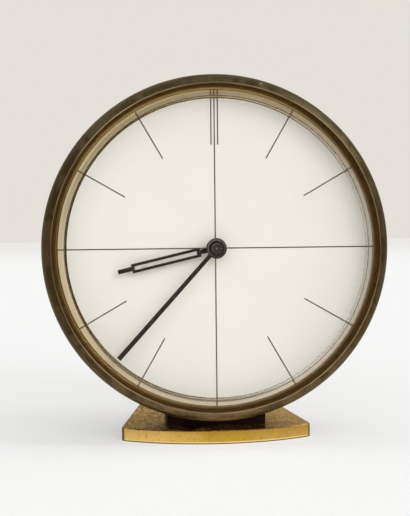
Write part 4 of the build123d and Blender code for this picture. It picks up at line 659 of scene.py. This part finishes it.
def make_crystal():
    """Clear crystal: flange, sloped wall and shallow dome, smooth all round."""
    lip = CRYSTAL_LIP
    shoulder = (CRYSTAL_SHOULDER, CRYSTAL_APEX - CRYSTAL_DOME)
    lip_level = shoulder[1] - CRYSTAL_WALL_HEIGHT
    seat = CRYSTAL_FOOT + CRYSTAL_FLANGE
    outside = dome(CRYSTAL_APEX, shoulder[0])[:-1]
    outline = outside + soft_corner(outside[-1], shoulder, (lip, lip_level), SHOULDER_ROUND)
    outline += [(lip, lip_level), (lip, seat)]
    outline += [(CRYSTAL_FLANGE_RADIUS, seat), (CRYSTAL_FLANGE_RADIUS, CRYSTAL_FOOT)]
    outline += [(lip - CRYSTAL_WALL, CRYSTAL_FOOT), (lip - CRYSTAL_WALL, seat)]
    outline += reversed(dome(CRYSTAL_APEX - CRYSTAL_TOP, shoulder[0] - CRYSTAL_WALL))
    piece = turned_piece("crystal_dome", outline, finishes["clear"])
    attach(piece, "case")
    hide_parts("crystal")


make_crystal()

# Floor that fades into the pale background far behind the clock
FLOOR_HALF = 6.0
CLIP_END = 4 * FLOOR_HALF
FLOOR_FADE = (1.2, 4.5)
FLOOR_COLOUR = colour(253, 253, 253)
FLOOR_GLOW_COLOUR = colour(254, 254, 253)
FLOOR_GLOW_SHARE = 0.42
WALL_COLOUR = colour(229, 224, 218)


def direct_sight(tree):
    """A share that is 1 for rays of sight, gloss and glass, and 0 for rays that light a surface."""
    path = tree.nodes.new("ShaderNodeLightPath")
    seen = path.outputs["Is Camera Ray"]
    for name in ("Is Glossy Ray", "Is Transmission Ray"):
        either = tree.nodes.new("ShaderNodeMath")
        either.operation = "MAXIMUM"
        tree.links.new(seen, either.inputs[0])
        tree.links.new(path.outputs[name], either.inputs[1])
        seen = either.outputs[0]
    return seen


def floor_material():
    """Pale paper with a faint tooth, which glows a little to the eye so that it looks white in soft light."""
    surface = Surface("floor", roughness=0.8, specular_ior_level=0.1)
    tooth_size = 1.1 * MM
    tooth_depth = 0.01 * MM
    _, depth, _ = surface.axes()
    surface.set("Base Color", surface.mix(surface.span(depth, *FLOOR_FADE), FLOOR_COLOUR, WALL_COLOUR))
    surface.bump(surface.noise(tooth_size), tooth_depth)
    glow = surface.node("ShaderNodeEmission")
    glow.inputs[0].default_value = FLOOR_GLOW_COLOUR
    surface.cover(surface.calc("MULTIPLY", direct_sight(surface.tree), FLOOR_GLOW_SHARE), glow)
    return surface.material


def make_floor():
    """Wide flat floor under the clock."""
    corners = [(-FLOOR_HALF, -FLOOR_HALF, 0), (FLOOR_HALF, -FLOOR_HALF, 0)]
    corners += [(FLOOR_HALF, FLOOR_HALF, 0), (-FLOOR_HALF, FLOOR_HALF, 0)]
    mesh = bpy.data.meshes.new("floor")
    mesh.from_pydata(corners, [], [(0, 1, 2, 3)])
    mesh.materials.append(floor_material())
    floor = placed("floor", mesh)


make_floor()

# Light: a pale world, two broad soft suns in front, left and right, and one from the right side
WORLD_LIGHT = 0.58
SUNS = (
    {"name": "left_sun", "strength": 0.38, "azimuth": -20.0, "elevation": 32.0, "width": 40.0},
    {"name": "right_sun", "strength": 0.94, "azimuth": 30.0, "elevation": 24.0, "width": 34.0},
    {"name": "side_sun", "strength": 0.75, "azimuth": 78.0, "elevation": 38.0, "width": 26.0},
)


def outward(azimuth, elevation):
    """Direction from the clock out, azimuth from the front towards the right, elevation above the floor."""
    turn, rise = math.radians(azimuth), math.radians(elevation)
    return Vector((math.sin(turn) * math.cos(rise), -math.cos(turn) * math.cos(rise), math.sin(rise)))


def make_world():
    """Even light all round, which sight, gloss and glass see as the pale background."""
    world = bpy.data.worlds.new("studio")
    bpy.context.scene.world = world
    world.use_nodes = True
    nodes, links = world.node_tree.nodes, world.node_tree.links
    light = nodes["Background"]
    light.inputs[0].default_value = (1.0, 1.0, 1.0, 1.0)
    light.inputs[1].default_value = WORLD_LIGHT
    backdrop = nodes.new("ShaderNodeBackground")
    backdrop.inputs[0].default_value = WALL_COLOUR
    both = nodes.new("ShaderNodeMixShader")
    links.new(direct_sight(world.node_tree), both.inputs[0])
    links.new(light.outputs[0], both.inputs[1])
    links.new(backdrop.outputs[0], both.inputs[2])
    links.new(both.outputs[0], nodes["World Output"].inputs[0])


def make_sun(name, strength, azimuth, elevation, width):
    """Broad sun turned to the clock."""
    data = bpy.data.lights.new(name, "SUN")
    data.energy = strength
    data.angle = math.radians(width)
    sun = placed(name, data)
    sun.rotation_mode = "QUATERNION"
    sun.rotation_quaternion = (-outward(azimuth, elevation)).to_track_quat("-Z", "Y")


def make_camera():
    """Camera that puts the clock's axis, where the bezel is widest, on its place in the image."""
    data = bpy.data.cameras.new("camera")
    data.sensor_width = SENSOR_MM
    data.lens = FOCAL_PIXELS * SENSOR_MM / max(IMAGE_WIDTH, IMAGE_HEIGHT)
    data.clip_start = CLIP_START
    data.clip_end = CLIP_END
    camera = placed("camera", data)
    away = outward(VIEW_AZIMUTH, VIEW_ELEVATION)
    camera.location = Vector((0, WIDEST_Y, DIAL_Z)) + away * VIEW_DISTANCE
    left_turn = math.atan((AXIS_PIXEL[0] - IMAGE_WIDTH / 2) / FOCAL_PIXELS)
    down_turn = math.atan((IMAGE_HEIGHT / 2 - AXIS_PIXEL[1]) / FOCAL_PIXELS)
    camera.rotation_mode = "QUATERNION"
    camera.rotation_quaternion = (
        (-away).to_track_quat("-Z", "Y")
        @ Quaternion((0, 1, 0), left_turn)
        @ Quaternion((1, 0, 0), -down_turn)
        @ Quaternion((0, 0, 1), -math.radians(VIEW_ROLL))
    )
    bpy.context.scene.camera = camera


make_world()
for row in SUNS:
    make_sun(**row)
make_camera()
bpy.context.scene.view_settings.view_transform = "Standard"
